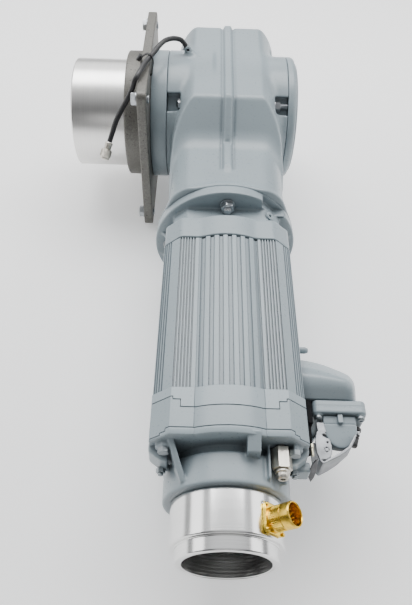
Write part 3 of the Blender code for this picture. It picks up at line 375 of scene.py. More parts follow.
def polygon_field(a, b, corners):
    """Signed distance to a closed outline in two coordinates."""
    nearest = None
    inside = None
    count = len(corners)
    for k in range(count):
        x0, y0 = corners[k]
        x1, y1 = corners[(k + 1) % count]
        ex, ey = x1 - x0, y1 - y0
        wx, wy = a - x0, b - y0
        t = np.clip((wx * ex + wy * ey) / (ex * ex + ey * ey), 0.0, 1.0)
        gap = (wx - ex * t) ** 2 + (wy - ey * t) ** 2
        nearest = gap if nearest is None else np.minimum(nearest, gap)
        above, below = b >= y0, b < y1
        side = ex * wy > ey * wx
        crossing = (above & below & side) | (~above & ~below & ~side)
        inside = crossing if inside is None else inside ^ crossing
    return np.where(inside, -1.0, 1.0) * np.sqrt(nearest)


def toward_chamfer(x, z):
    """How far a place lies out toward the motor's slanted corner faces."""
    return 0.667 * x + 0.746 * z


def motor_section(x, z, grow=0.0):
    """The motor's outline: arcs above and below, flat shoulders, chamfers and plain sides."""
    ax, az = np.abs(x), np.abs(z)
    flats = az - (FLAT_Z + grow)
    arcs = np.maximum(span_of(x, z) - (ARC_R + grow), ax - ARC_X)
    top = join(flats, arcs, 1.5)
    chamfer = toward_chamfer(ax, az) - (80.9 + grow)
    return meet(meet(top, ax - (SIDE_X + grow), 2.0), chamfer, 2.0)


# ---------------------------------------------------------------- meshes


def finish_mesh(name, points, faces, finish, body=ROOT, slot=None, replaces=(), sharp=None):
    """One piece: a finish is its material with the slot that the material usually has, and that slot is not
    used.
    """
    material, usual_slot = finish
    mesh = bpy.data.meshes.new(name)
    mesh.from_pydata(place(points).tolist(), [], faces)
    if sharp is not None:
        work = bmesh.new()
        work.from_mesh(mesh)
        bmesh.ops.recalc_face_normals(work, faces=work.faces)
        limit = math.radians(sharp)
        for edge in work.edges:
            edge.smooth = len(edge.link_faces) == 2 and edge.calc_face_angle(0.0) < limit
        work.to_mesh(mesh)
        work.free()
    mesh.polygons.foreach_set("use_smooth", np.ones(len(mesh.polygons), bool))
    mesh.update()
    obj = bpy.data.objects.new(name, mesh)
    bpy.context.scene.collection.objects.link(obj)
    mesh.materials.append(material)
    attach(obj, body)
    slot or usual_slot
    if replaces:
        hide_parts(*replaces)
    return obj


def skin(name, field, low, high, step, finish, replaces=(), body=ROOT):
    """The surface of a distance field, as one smooth mesh of small quads."""
    low, high = np.array(low, float), np.array(high, float)
    sizes = np.ceil((high - low) / step).astype(int) + 1
    lines = [(low[i] + step * np.arange(sizes[i])).astype(np.float32) for i in range(3)]
    grid = (lines[0][:, None, None], lines[1][None, :, None], lines[2][None, None, :])
    values = np.broadcast_to(field(grid), sizes).astype(np.float32)
    inside = values < 0
    cells = tuple(s - 1 for s in sizes)
    count = np.zeros(cells, np.uint8)
    total = np.zeros(cells + (3,), np.float32)
    crossings = []
    for axis in range(3):
        first = tuple(slice(None, -1) if k == axis else slice(None) for k in range(3))
        second = tuple(slice(1, None) if k == axis else slice(None) for k in range(3))
        change = inside[first] != inside[second]
        crossings.append(change)
        share = np.where(change, values[first] / (values[first] - values[second] + 1e-12), 0.0)
        others = [k for k in range(3) if k != axis]
        for da in (0, 1):
            for db in (0, 1):
                part = [slice(None)] * 3
                part[others[0]] = slice(da, sizes[others[0]] - 1 + da)
                part[others[1]] = slice(db, sizes[others[1]] - 1 + db)
                hit = change[tuple(part)]
                count += hit
                total[..., axis] += share[tuple(part)] * hit
                total[..., others[0]] += da * hit
                total[..., others[1]] += db * hit
    used = count > 0
    index = np.full(cells, -1, np.int64)
    index[used] = np.arange(used.sum())
    where = np.argwhere(used)
    points = low + (where + total[used] / count[used][:, None]) * step
    quads = []
    for axis in range(3):
        a, b = [k for k in range(3) if k != axis]
        at = np.argwhere(crossings[axis])
        keep = (at[:, a] > 0) & (at[:, b] > 0) & (at[:, a] < sizes[a] - 1) & (at[:, b] < sizes[b] - 1)
        at = at[keep]
        corners = []
        for da, db in ((-1, -1), (0, -1), (0, 0), (-1, 0)):
            cell = at.copy()
            cell[:, a] += da
            cell[:, b] += db
            corners.append(index[tuple(cell.T)])
        quad = np.stack(corners, 1)
        flip = inside[tuple(at.T)] ^ (axis == 1)
        quad[~flip] = quad[~flip][:, ::-1]
        quads.append(quad)
    faces = np.concatenate(quads)
    for _ in range(3):
        here = [points[:, i] for i in range(3)]
        value = field(here)
        slope = np.zeros_like(points)
        for i in range(3):
            ahead, behind = list(here), list(here)
            ahead[i] = here[i] + 0.05
            behind[i] = here[i] - 0.05
            slope[:, i] = (field(ahead) - field(behind)) / 0.1
        size = np.maximum((slope * slope).sum(1), 0.2)
        move = slope * (value / size)[:, None]
        points -= np.clip(move, -0.45 * step, 0.45 * step)
    return finish_mesh(name, points, faces.tolist(), finish, body, replaces=replaces)


def frame_of(axis):
    """Two directions across the axis, and the axis itself."""
    along = Vector(axis).normalized()
    aside = Vector((0, 0, 1)) if abs(along.z) < 0.9 else Vector((0, 1, 0))
    u = aside.cross(along).normalized()
    return np.array(u), np.array(along.cross(u)), np.array(along)


def revolve(outline, centre, axis, sides, phase=0.0):
    """Points and faces of a closed outline of (radius, distance) turned about an axis."""
    u, v, along = frame_of(axis)
    base = np.array(centre, float)
    points, rings = [], []
    for radius, distance in outline:
        middle = base + along * distance
        if radius < 1e-6:
            rings.append([len(points)])
            points.append(middle)
            continue
        start = len(points)
        for k in range(sides):
            angle = phase + 2 * math.pi * k / sides
            points.append(middle + (u * math.cos(angle) + v * math.sin(angle)) * radius)
        rings.append(list(range(start, start + sides)))
    faces = []
    for i, ring in enumerate(rings):
        other = rings[(i + 1) % len(rings)]
        if len(ring) == 1 and len(other) == 1:
            continue
        for k in range(sides):
            n = (k + 1) % sides
            if len(ring) == 1:
                faces.append((ring[0], other[n], other[k]))
            elif len(other) == 1:
                faces.append((ring[k], ring[n], other[0]))
            else:
                faces.append((ring[k], ring[n], other[n], other[k]))
    return points, faces


def strips(rows, count, closed=False):
    """Quads between rows of points that each run round once."""
    faces = []
    for r in range(rows if closed else rows - 1):
        other = (r + 1) % rows
        for k in range(count):
            n = (k + 1) % count
            faces.append((r * count + k, r * count + n, other * count + n, other * count + k))
    return faces


def prism(rows, count):
    """The faces of a body made of rows of points, closed at both ends."""
    last = (rows - 1) * count
    return strips(rows, count) + [tuple(range(count - 1, -1, -1)), tuple(range(last, last + count))]


def merge(*shapes):
    """Several (points, faces) pairs as one."""
    points, faces = [], []
    for some_points, some_faces in shapes:
        start = len(points)
        points += list(some_points)
        faces += [tuple(i + start for i in face) for face in some_faces]
    return points, faces


def softened(outline, radius=0.6):
    """Rounds every corner of a closed outline with three points."""
    result = []
    count = len(outline)
    for k in range(count):
        here = np.array(outline[k], float)
        if here[0] < 1e-6:
            result.append(tuple(here))
            continue
        before, after = np.array(outline[k - 1], float), np.array(outline[(k + 1) % count], float)
        back, on = before - here, after - here
        reach = min(radius, 0.45 * np.linalg.norm(back), 0.45 * np.linalg.norm(on))
        start = here + back / np.linalg.norm(back) * reach
        end = here + on / np.linalg.norm(on) * reach
        for t in (0.0, 0.33, 0.67, 1.0):
            result.append(tuple((1 - t) ** 2 * start + 2 * t * (1 - t) * here + t * t * end))
    return result


def turning(outline, radius, centre, axis, sides):
    """Points and faces of a closed outline, softened and turned about an axis."""
    return revolve(softened(outline, radius), centre, axis, sides)


def lathe(name, outline, centre, axis, sides, finish, radius=0.6, sharp=40.0, **rest):
    """One turned piece."""
    points, faces = turning(outline, radius, centre, axis, sides)
    return finish_mesh(name, points, faces, finish, sharp=sharp, **rest)


def hardware(name, shapes, finish, **rest):
    """A bolt, nut or stud made of several shapes, as one crisp mesh."""
    points, faces = merge(*shapes)
    return finish_mesh(name, points, faces, finish, sharp=32, **rest)


def band(inner, outer, low, high):
    """The outline of a plain ring, or of a rod where the inner radius is 0."""
    return [(inner, low), (outer, low), (outer, high), (inner, high)]


def bend(p0, p1, p2, p3, t):
    """The point at share t of the smooth curve from p1 to p2."""
    return 0.5 * (2 * p1 + (p2 - p0) * t + (2 * p0 - 5 * p1 + 4 * p2 - p3) * t * t
                  + (3 * p1 - p0 - 3 * p2 + p3) * t**3)


def hexagon(across, low, high, centre, axis, phase=0.0, chamfer=0.12):
    """A hexagonal head or nut with its corners turned off at the outer end."""
    u, v, along = frame_of(axis)
    sides = 48
    depth = across * chamfer * 0.55
    points = []
    for distance, limit in ((low, 1.16), (high - depth, 1.16), (high - depth * 0.45, 1.09), (high, 0.96)):
        middle = np.array(centre, float) + along * distance
        for k in range(sides):
            angle = 2 * math.pi * k / sides
            flat = (angle + math.pi / 6) % (math.pi / 3) - math.pi / 6
            reach = min(1.0 / math.cos(flat), limit) * across / 2
            points.append(middle + (u * math.cos(angle + phase) + v * math.sin(angle + phase)) * reach)
    return points, prism(4, sides)


def thread_outline(radius, low, high, pitch=1.25, depth=0.55):
    """The profile of a threaded rod, as close rings."""
    outline = [(0.0, low), (radius - depth, low)]
    at = low + pitch * 0.4
    while at + pitch < high:
        outline += [(radius, at + pitch * 0.3), (radius - depth, at + pitch * 0.8)]
        at += pitch
    outline += [(radius - depth, high - 0.3), (radius - depth - 0.5, high), (0.0, high)]
    return outline


# ---------------------------------------------------------------- gear unit


def around_output(p):
    """Distances from the output axis along the four stud diagonals: radial, sideways."""
    dy, dz = np.abs(p[1] - OUTPUT_Y), np.abs(p[2] - OUTPUT_Z)
    return (dy + dz) * 0.70711, (dy - dz) * 0.70711


def housing_field(p):
    """Body, neck, flared collar, crest, bosses and gland, less the pockets and bores."""
    x, y, z = p
    ax = np.abs(x)
    heights = (70, 77, 84, 90, 96, 102, 106, 110, 116)
    width = np.interp(z, heights, (64.3, 62.6, 60.2, 57.6, 54.0, 49.5, 46.0, 41.5, 35.0))
    side = (ax - width) * 0.92
    slope = ((96.5 - y) * 36.0 + (z - 73.6) * 38.0) / 52.3
    top = meet(meet(z - 110.0, slope, 3.5), y - 301.0, 10.0)
    body = meet(meet(side, top, 2.6), -46.0 - z, 8.0)
    neck = between(p, (-64.5, 13.0, -66.0), (64.5, 152.0, 73.6), 1.0)
    lower = rounded_box(x, z - 3.8, 34.0, 39.8, 30.5)
    neck = meet(meet(neck, lower, 2.0), 12.7 - y, 1.0)
    body = join(body, neck, 11.0)
    t = np.clip((y - 15.0) / 34.0, 0.0, 1.0)
    flare = (span_of(x, z) - (62.0 + 17.8 * (1.0 - t) ** 2.0)) * 0.8
    flare = meet(meet(flare, 12.7 - y, 1.2), y - 62.0, 2.0)
    body = join(body, flare, 9.0)
    groove = 1.5 * np.exp(-(((ax - 6.9) / 1.7) ** 2)) * np.clip((z - 45.0) / 6.0, 0.0, 1.0)
    body = body + groove * np.clip((y - 44.0) / 5.0, 0.0, 1.0)
    reaches = (44, 52, 86, 97, 130, 134, 296, 303)
    crest = np.interp(y, reaches, (72.0, 75.6, 76.2, 78.4, 110.4, 112.6, 112.6, 104.0))
    ridge = rounded_max(ax - 4.6, (z - crest) * 0.82, 2.2)
    ridge = meet(meet(ridge, 44.0 - y, 2.0), 50.0 - z)
    ridge = meet(ridge, y - 302.6, 1.0)
    body = join(body, ridge, 3.0)
    tail = rounded_max(ax - 5.0, np.abs(z - 35.0) - 68.0, 2.0)
    body = join(body, rounded_max(tail, np.abs(y - 296.0) - 7.3, 2.0), 3.0)
    tunnel = between(p, (-29.0, 60.0, -59.5), (29.0, 300.6, -20.0), 5.0)
    body = join(body, tunnel, 8.0)
    left = drum(p, 0, OUTPUT_AXIS, LEFT_BOSS_R, -74.0, -20.0, 1.4)
    right = drum(p, 0, OUTPUT_AXIS, RIGHT_BOSS_R, 20.0, 74.0, 1.4)
    body = join(body, join(left, right), 9.0)
    gland = capsule(p, GLAND_FOOT - 10.0 * GLAND_AXIS, GLAND_TIP - 4.0 * GLAND_AXIS, 4.4)
    body = join(body, gland, 8.0)
    from_tip = [a - g for a, g in zip(p, GLAND_TIP)]
    rise = sum(a * d for a, d in zip(from_tip, GLAND_AXIS))
    body = meet(body, np.where(span_of(*from_tip) < 16.0, rise, -50.0))
    radial, aside = around_output(p)
    pocket = block((ax - 67.3, radial - POCKET_R - 3.7, aside), (0, 0, 0), (10.1, 12.0, 11.0), 1.4)
    body = cut(body, pocket, 1.2)
    studs = span_of(radial - STUD_R, aside) - CLEAR_BORE_R
    body = cut(body, rounded_max(studs, np.abs(ax - 55.0) - 7.0, 0.4))
    for radius, low, high in ((60.6, -36.0, 90.0), (55.8, -61.0, -30.0), (52.2, -90.0, -50.0)):
        body = cut(body, drum(p, 0, OUTPUT_AXIS, radius, low, high))
    worm_bores = ((20.8, 103.7, 118.5), (20.8, 274.5, 320.0), (18.2, 110.0, 280.0), (13.2, 60.0, 110.0))
    for radius, low, high in worm_bores:
        body = cut(body, drum(p, 1, WORM_AXIS, radius, low, high))
    body = cut(body, drum(p, 1, MOTOR_AXIS, 57.0, 0.0, 88.0))
    body = cut(body, span_of(x, y - 91.5, z - 80.2) - 5.4, 1.0)
    off_axis = span_of(*[a - rise * d for a, d in zip(from_tip, GLAND_AXIS)])
    body = cut(body, np.where(rise > -12.5, off_axis - 3.4, 50.0))
    return cut(body, drum(p, 0, OIL_PLUG_AXIS, 6.8, 54.0, 80.0))


def flange_field(p):
    """The square plate with its round boss, four bolt holes and the slot for the tie."""
    x, y, z = p
    dy, dz = np.abs(y - PLATE_Y), np.abs(z - PLATE_Z)
    thickness = np.abs(x - (PLATE_LOW_X + PLATE_HIGH_X) / 2) - (PLATE_HIGH_X - PLATE_LOW_X) / 2
    corner = 8.0
    plate = rounded_max(rounded_box(dy, dz, PLATE_HALF - corner, PLATE_HALF - corner, corner), thickness, 1.4)
    boss = drum(p, 0, OUTPUT_AXIS, PLATE_BOSS_R, PLATE_BOSS_X, -98.0, 2.2)
    body = join(plate, boss, 3.5)
    body = cut(body, drum(p, 0, OUTPUT_AXIS, 50.6, -140.0, -80.0))
    body = cut(body, span_of(dy - BOLT_HALF, dz - BOLT_HALF) - 5.8, 0.8)
    tie_slot = between(p, (-120.0, 168.8, 110.8), (-80.0, 175.2, 113.2))
    return cut(body, tie_slot, 0.6)


def build_gear_unit(m):
    """The housing, its flange, hub, ring, cover, plugs, studs and bolts."""
    skin("cast_gear_housing", housing_field, (-78, 9, -70), (78, 306, 128), 1.5, m["grey"], ["gear_housing"])
    skin("cast_output_flange", flange_field, (-129, 105, -80), (-91, 313, 127), 1.35, m["iron"],
         ["output_flange"])
    hub = [(36.0, -182.0), (60.0, -182.0), (60.0, -193.0), (66.0, -193.0), (67.5, -191.5), (67.5, -127.4),
           (66.6, -126.5), (36.0, -126.5)]
    lathe("turned_hub", hub, OUTPUT_AXIS, ACROSS, 144, m["hub"], 0.5, body=OUTPUT, replaces=["output_hub"])
    ring = [(50.8, -93.7), (80.0, -93.7), (80.0, -75.0), (79.4, -74.3), (50.8, -74.3)]
    lathe("turned_ring", ring, OUTPUT_AXIS, ACROSS, 128, m["grey"], 0.9, replaces=["output_ring"])
    cover = [(46.6, 66.0), (52.4, 66.0), (52.4, 42.0), (59.9, 42.0), (59.9, 74.3), (76.5, 74.3), (76.5, 80.5),
             (74.8, 83.8), (70.0, 84.6), (69.0, 87.0), (58.0, 87.5), (56.0, 85.0), (50.0, 85.0), (48.5, 87.5),
             (46.6, 87.5)]
    lathe("cast_cover", cover, OUTPUT_AXIS, ACROSS, 128, m["grey"], 1.2, replaces=["housing_cover"])
    cap = [(0, 293.0), (20.0, 293.0), (20.0, 299.6), (18.0, 301.0), (8.0, 301.0), (6.5, 299.5), (0, 299.5)]
    lathe("worm_cap_turned", cap, WORM_AXIS, ALONG, 64, m["grey"], 0.6, replaces=["worm_end_cap"])
    plug = [(0, 66.0), (6.2, 66.0), (6.2, 68.0), (7.4, 68.4), (7.4, 71.2), (5.2, 73.2), (3.4, 73.2),
            (3.4, 71.0), (0, 71.0)]
    lathe("oil_plug_turned", plug, OIL_PLUG_AXIS, ACROSS, 40, m["zinc"], 0.4, replaces=["oil_level_plug"])
    for number, turn in enumerate((45, 135, 225, 315), 1):
        build_studs(number, math.radians(turn), m)
    for number, (sy, sz) in enumerate(((1, 1), (-1, 1), (-1, -1), (1, -1)), 1):
        at = (0, PLATE_Y + sy * BOLT_HALF, PLATE_Z + sz * BOLT_HALF)
        shapes = [
            hexagon(13.6, 107.6, 112.7, at, LEFTWARD),
            turning(band(4.0, 8.0, 105.8, 107.4), 0.3, at, LEFTWARD, 40),
            revolve(thread_outline(4.8, 92.2, 107.8, 1.5, 0.5), at, LEFTWARD, 32),
        ]
        hardware(f"plate_bolt_{number}", shapes, m["zinc"], replaces=[f"flange_bolt_{number}"])


def build_studs(number, angle, m):
    """The left and the right stud with its nut in one pair of pockets."""
    at = (0, OUTPUT_Y - STUD_R * math.cos(angle), OUTPUT_Z + STUD_R * math.sin(angle))
    pairs = (
        ("ring_stud", "left", [
            hexagon(11.0, 57.6, 60.6, at, LEFTWARD, 0.3),
            turning(band(0, 4.0, 74.6, 91.0), 0.4, at, LEFTWARD, 28),
        ]),
        ("cover_stud", "right", [
            hexagon(11.6, 58.0, 64.4, at, ACROSS, 0.3),
            revolve(thread_outline(4.0, 63.0, 73.6), at, ACROSS, 28),
            turning(band(4.2, 7.0, 57.4, 58.2), 0.2, at, ACROSS, 32),
        ]),
    )
    for node, side, shapes in pairs:
        hardware(f"{node}_{side}_{number}", shapes, m["zinc"], replaces=[f"{node}_{number}"])


# ---------------------------------------------------------------- motor


def front_shield_field(p):
    """The round motor flange, the pads of its four studs and the cap toward the barrel."""
    x, y, z = p
    ax, az = np.abs(x), np.abs(z)
    rim = drum(p, 1, MOTOR_AXIS, 80.0, 0.0, 12.0, 1.0)
    hub = drum(p, 1, MOTOR_AXIS, 52.0, -32.0, 2.0, 1.0)
    body = join(rim, hub, 3.0)
    pad = meet(meet(az - 57.2, toward_chamfer(ax, az) - 71.4, 0.8), ax - 58.0, 1.0)
    body = join(body, rounded_max(pad, np.abs(y + 14.0) - 16.0, 0.8), 2.0)
    cap = rounded_max(motor_section(x, z), np.abs(y + 38.2) - 13.9, 0.9)
    body = join(body, cap, 2.0)
    well = between(p, (37.6, -3.0, 48.8), (95.0, 10.0, 95.0), 0.6)
    body = cut(body, meet(well, 70.6 - toward_chamfer(x, z), 0.5), 0.5)
    slit = between(p, (56.0, -4.0, 46.2), (74.0, 5.0, 47.2))
    body = cut(body, slit)
    gusset = rounded_max(np.abs(az - 17.0) - 2.4, meet(ax - 76.0, (ax - 62.0) * 0.8 + (-y - 14.0) * 0.6), 0.6)
    gusset = meet(meet(gusset, 50.0 - ax), np.abs(y + 14.0) - 15.0)
    body = join(body, gusset, 2.0)
    bore = join(drum(p, 1, MOTOR_AXIS, 21.4, -10.0, 20.0), drum(p, 1, MOTOR_AXIS, 32.0, -30.0, -7.6))
    bore = join(bore, drum(p, 1, MOTOR_AXIS, 56.4, -60.0, -31.5))
    body = cut(body, bore)
    studs = np.minimum(span_of(ax - MOTOR_STUD_R, z), span_of(x, az - MOTOR_STUD_R)) - CLEAR_BORE_R
    return cut(body, rounded_max(studs, np.abs(y - 6.0) - 12.0, 0.2))


def dip(at, centres, depth, half, slope):
    """How deep the grooves at the centres are here, with sloped sides."""
    return sum(depth * min(1.0, max(0.0, (half - abs(at - centre)) / slope)) for centre in centres)


def motor_outline(ribbed):
    """The motor's outline as close points in (x, z), with ribs on every side where it is ribbed."""
    wide = [-25.0 + 8.85 * k for k in range(7)] if ribbed else []
    fine = [sign * (33.9 + 2.8 * k) for k in range(6) for sign in (-1, 1)] if ribbed else []
    slanted = [12.6, 15.6, 18.6, 21.0] if ribbed else []
    level = [30.5 + 2.85 * k for k in range(6)] + [4.0, 11.5, 19.0] if ribbed else []
    top = []
    for x in np.arange(-FLAT_X, FLAT_X + 0.01, 0.2):
        z = math.sqrt(ARC_R**2 - x * x) if abs(x) < ARC_X else FLAT_Z
        top.append((x, z - dip(x, wide, 2.3, 2.3, 0.6) - dip(x, fine, 2.2, 0.85, 0.3)))
    right = []
    for along in np.arange(0.4, 22.2, 0.2):
        deep = dip(along, slanted, 1.6, 0.9, 0.3)
        right.append((FLAT_X + 0.745 * along - 0.669 * deep, FLAT_Z - 0.669 * along - 0.745 * deep))
    for z in np.arange(50.0, 0.0, -0.2):
        right.append((SIDE_X - dip(z, level, 2.4, 1.0, 0.3), z))
    below = [(x, -z) for x, z in reversed(right)]
    left = [(-x, z) for x, z in reversed(right)]
    opposite = [(-x, -z) for x, z in top + right]
    return top + right + [(right[-1][0], 0.0)] + below + opposite + left


def sleeve(name, outline, rows, finish, replaces=(), hole=57.4):
    """A shell round the motor: rows give how far in the outline sits and where along Y it lies.

    An inset of None puts the row on the round hole.
    """
    flat = np.array(outline)
    ahead, behind = np.roll(flat, -1, 0), np.roll(flat, 1, 0)
    run = ahead - behind
    normal = np.stack((run[:, 1], -run[:, 0]), 1) / np.maximum(np.linalg.norm(run, axis=1), 1e-9)[:, None]
    if ((flat * normal).sum(1)).mean() < 0:
        normal = -normal
    points = []
    for inset, along in rows:
        if inset is None:
            ring = flat / np.linalg.norm(flat, axis=1)[:, None] * hole
        else:
            ring = flat - normal * inset
        for (x, z), (reach, _) in zip(ring, flat):
            points.append((x, along(reach) if callable(along) else along, z))
    finish_mesh(name, points, strips(len(rows), len(flat)), finish, replaces=replaces, sharp=38)


def stepped(marks, shift, offset):
    """Where a joint line lies along Y: marks are (reach in x, Y) from the middle outwards."""
    def along(x):
        for reach, y in marks:
            if abs(x) < reach + offset:
                break
        return y + shift

    return along


def step_outline(outline, reaches):
    """Doubles the points where a joint line steps, so the steps stay sharp."""
    result = []
    for k, (x, z) in enumerate(outline):
        x1, z1 = outline[(k + 1) % len(outline)]
        result.append((x, z))
        crossed = [at for at in reaches if (abs(x) - at) * (abs(x1) - at) < 0]
        for at in sorted(crossed, reverse=abs(x1) < abs(x)):
            t = (at - abs(x)) / (abs(x1) - abs(x))
            sign = 1.0 if x + x1 > 0 else -1.0
            near = 1.0 if abs(x1) > abs(x) else -1.0
            for shift in (-0.02 * near, 0.02 * near):
                result.append((sign * (at + shift), z + (z1 - z) * t))
    return result


def rear_shield_field(p):
    """Rear lip and collar with ears, foot, corner blocks, gusset, lug and the fitting's well."""
    x, y, z = p
    ax = np.abs(x)
    lip = rounded_max(motor_section(x, z, -0.6), np.abs(y + 271.6) - 2.3, 0.3)
    lip = meet(lip, (ax - np.interp(z, TAPER_Z, TAPER_X)) * 0.97, 0.5)
    collar = drum(p, 1, MOTOR_AXIS, 54.5, -308.0, -270.0, 2.2)
    undercut = rounded_max(49.6 - span_of(x, z), np.abs(y + 277.4) - 3.9, 1.0)
    body = join(lip, cut(collar, undercut, 2.0), 1.0)
    ear = between((ax, y, z), (50.0, -286.5, 20.0), (66.6, -270.0, 42.5), 1.5)
    ear = meet(ear, 0.8 * (-y - 281.0) + 0.6 * (ax - 62.5), 2.0)
    foot = between(p, (56.0, -285.0, 7.0), (70.0, -276.0, 24.0), 1.2)
    body = join(body, join(ear, foot), 2.0)
    corner = between((ax, y, z), (46.0, -279.0, 44.0), (60.5, -270.0, 54.5), 2.0)
    corner = meet(corner, toward_chamfer(ax, z) - 77.0, 2.0)
    body = join(body, corner, 2.0)
    lean = x + 47.0 - (-y - 277.0) * 0.40
    gusset = rounded_max(np.abs(lean) - 2.5, z - 57.0 + (-y - 277.0) * 0.58, 0.6)
    gusset = meet(meet(gusset, np.abs(y + 288.0) - 15.5), 25.0 - z)
    body = join(body, gusset, 1.5)
    lug = between(p, (13.6, -286.0, 44.0), (24.6, -270.0, 70.0), 0.8)
    lug = meet(lug, 0.50 * (-y - 277.0) + (z - 66.8), 0.6)
    body = join(body, lug, 1.5)
    shell = rounded_max(span_of(x - FITTING_X, z - FITTING_Z) - 12.0, np.abs(y + 288.0) - 14.0, 2.0)
    body = join(body, meet(shell, span_of(x, z) - 60.0, 2.0), 3.0)
    well = rounded_max(span_of(x - FITTING_X, z - FITTING_Z) - 9.4, REAR_FACE_Y - y - 40.0, 0.5)
    well = meet(well, y - REAR_FACE_Y)
    notch = between(p, (33.4, -330.0, 46.0), (52.2, REAR_FACE_Y, 90.0))
    body = cut(body, join(well, notch), 1.0)
    body = cut(body, drum(p, 1, MOTOR_AXIS, 40.5, -320.0, -260.0))
    return cut(body, drum(p, 1, (FITTING_X, 0, FITTING_Z), 4.4, -300.0, -260.0))


def build_motor(m):
    """The motor's shields, shells, nuts, screws and fitting."""
    skin("cast_front_shield", front_shield_field, (-83, -55, -83), (83, 15, 83), 1.35, m["grey"],
         ["drive_end_shield"])
    build_motor_shells(m)
    skin("cast_rear_shield", rear_shield_field, (-71, -312, -75), (71, -268, 75), 1.2, m["grey"],
         ["rear_end_shield"])
    for number, (x, z) in enumerate(((0, 1), (1, 0), (0, -1), (-1, 0)), 1):
        at = (x * MOTOR_STUD_R, 0, z * MOTOR_STUD_R)
        shapes = [
            hexagon(13.0, 1.8, 8.0, at, REARWARD, 0.26),
            turning(band(4.2, 8.2, 0.4, 1.7), 0.3, at, REARWARD, 40),
            revolve(thread_outline(4.0, -11.0, 12.5), at, REARWARD, 28),
        ]
        hardware(f"motor_nut_{number}", shapes, m["zinc"], replaces=[f"motor_stud_{number}"])
    at = (FITTING_X, 0, FITTING_Z)
    nozzle = [(0, 293.0), (5.0, 293.0), (5.0, 294.4), (6.2, 294.6), (6.2, 296.2), (5.2, 296.6), (5.2, 299.0),
              (4.4, 301.4), (2.2, 301.4), (2.2, 298.0), (0, 298.0)]
    shapes = [
        hexagon(14.6, 276.0, 293.6, at, REARWARD, FITTING_TURN, 0.05),
        turning(band(0, 3.8, 272.0, 280.0), 0.3, at, REARWARD, 32),
        turning(nozzle, 0.3, at, REARWARD, 40),
    ]
    hardware("hex_fitting_turned", shapes, m["nickel"], replaces=["hex_fitting"])
    for number, side in enumerate((1, -1), 1):
        at = (side * 56.0, 0, 25.0)
        shapes = [
            hexagon(8.4, 278.4, 283.2, (side * 53.6, 0, 49.0), REARWARD, 0.2),
            hexagon(7.0, 285.8, 289.6, at, REARWARD, 0.5),
            turning(band(0, 2.2, 289.0, 291.8), 0.4, at, REARWARD, 24),
        ]
        hardware(f"rear_screw_{number}", shapes, m["dull_screw"], slot="steel")
    ring = [(1.6, 0.0), (5.2, 0.0), (5.2, 1.8), (4.6, 2.4), (2.2, 2.4), (1.6, 1.8)]
    lathe("earth_lug_ring", ring, (45.2, -8.6, 55.3), (0.667, -0.12, 0.746), 40, m["grey"], 0.3)


def build_motor_shells(m):
    """The ribbed barrel, the belt and band behind it, and the lip, parted by stepped joint lines."""
    rows = [(None, -53.1), (3.6, -53.1), (0.5, -53.2), (0.0, -53.7), (0.0, -231.6)]
    sleeve("ribbed_motor_barrel", motor_outline(True), rows, m["grey"], ["motor_housing"])
    plain = [(x * 1.008, z * 1.012) for x, z in motor_outline(False)]
    tapered = []
    for x, z in plain:
        reach = float(np.interp(z, TAPER_Z, TAPER_X))
        tapered.append((math.copysign(min(abs(x), reach), x), z))
    slit = 0.28

    def joint(marks, side):
        """One edge of a joint line: side 1 lies toward the gear unit."""
        offset = -side * slit * math.copysign(1.0, marks[-1][1] - marks[0][1])
        reaches = [reach + offset for reach, _ in marks[:-1]]
        rows = [(inset, stepped(marks, side * shift, offset))
                for inset, shift in ((0.0, 0.6), (0.25, slit + 0.03), (3.0, slit))]
        return reaches, rows

    front = [(41.0, -249.3), (47.5, -242.4), (90.0, -239.8)]
    rear = [(52.5, -267.8), (57.0, -270.4), (90.0, -272.2)]
    reaches, rows = joint(front, 1.0)
    rows = [(None, -229.0), (3.6, -230.0), (0.9, -230.2), (0.0, -231.0)] + rows + [(None, -238.5)]
    sleeve("motor_rear_belt", step_outline(plain, reaches), rows, m["grey"], hole=50.0)
    reaches, rows = joint(front, -1.0)
    more, ends = joint(rear, 1.0)
    rows = [(None, -255.0)] + rows[::-1] + ends + [(None, -266.5)]
    sleeve("bearing_band", step_outline(tapered, reaches + more), rows, m["grey"], ["bearing_shield"], 50.0)
    reaches, rows = joint(rear, -1.0)
    rows = [(3.0, -273.2)] + rows[::-1] + [(0.0, -273.3), (0.4, -273.9), (1.2, -274.2), (13.0, REAR_FACE_Y)]
    sleeve("rear_lip", step_outline(tapered, reaches), rows, m["grey"])


def sleeve_profile():
    """The bright sleeve's closed outline: stepped outside, threaded inside."""
    outline = [(38.4, -355.6), (42.0, -355.6), (43.1, -354.6), (43.1, -344.6), (43.6, -344.0), (46.4, -344.0),
               (47.6, -343.0), (47.6, -308.4), (40.0, -308.4), (40.0, -286.4), (33.2, -286.4), (33.2, -322.0)]
    profile = softened(outline[:-2], 0.5) + outline[-2:] + [(37.4, -324.4)]
    at = -325.2
    while at > -352.6:
        profile += [(38.9, at - 0.1), (38.9, at - 0.9), (36.7, at - 1.7), (36.7, at - 2.6)]
        at -= 3.0
    profile.append((38.0, -355.0))
    dense = []
    for (r0, d0), (r1, d1) in zip(profile, profile[1:] + profile[:1]):
        dense.append((r0, d0))
        length = math.hypot(r1 - r0, d1 - d0)
        if min(r0, r1) > 45.0 and length > 3.0:
            steps = int(length / 0.8)
            dense += [(r0 + (r1 - r0) * t / steps, d0 + (d1 - d0) * t / steps) for t in range(1, steps)]
    return dense


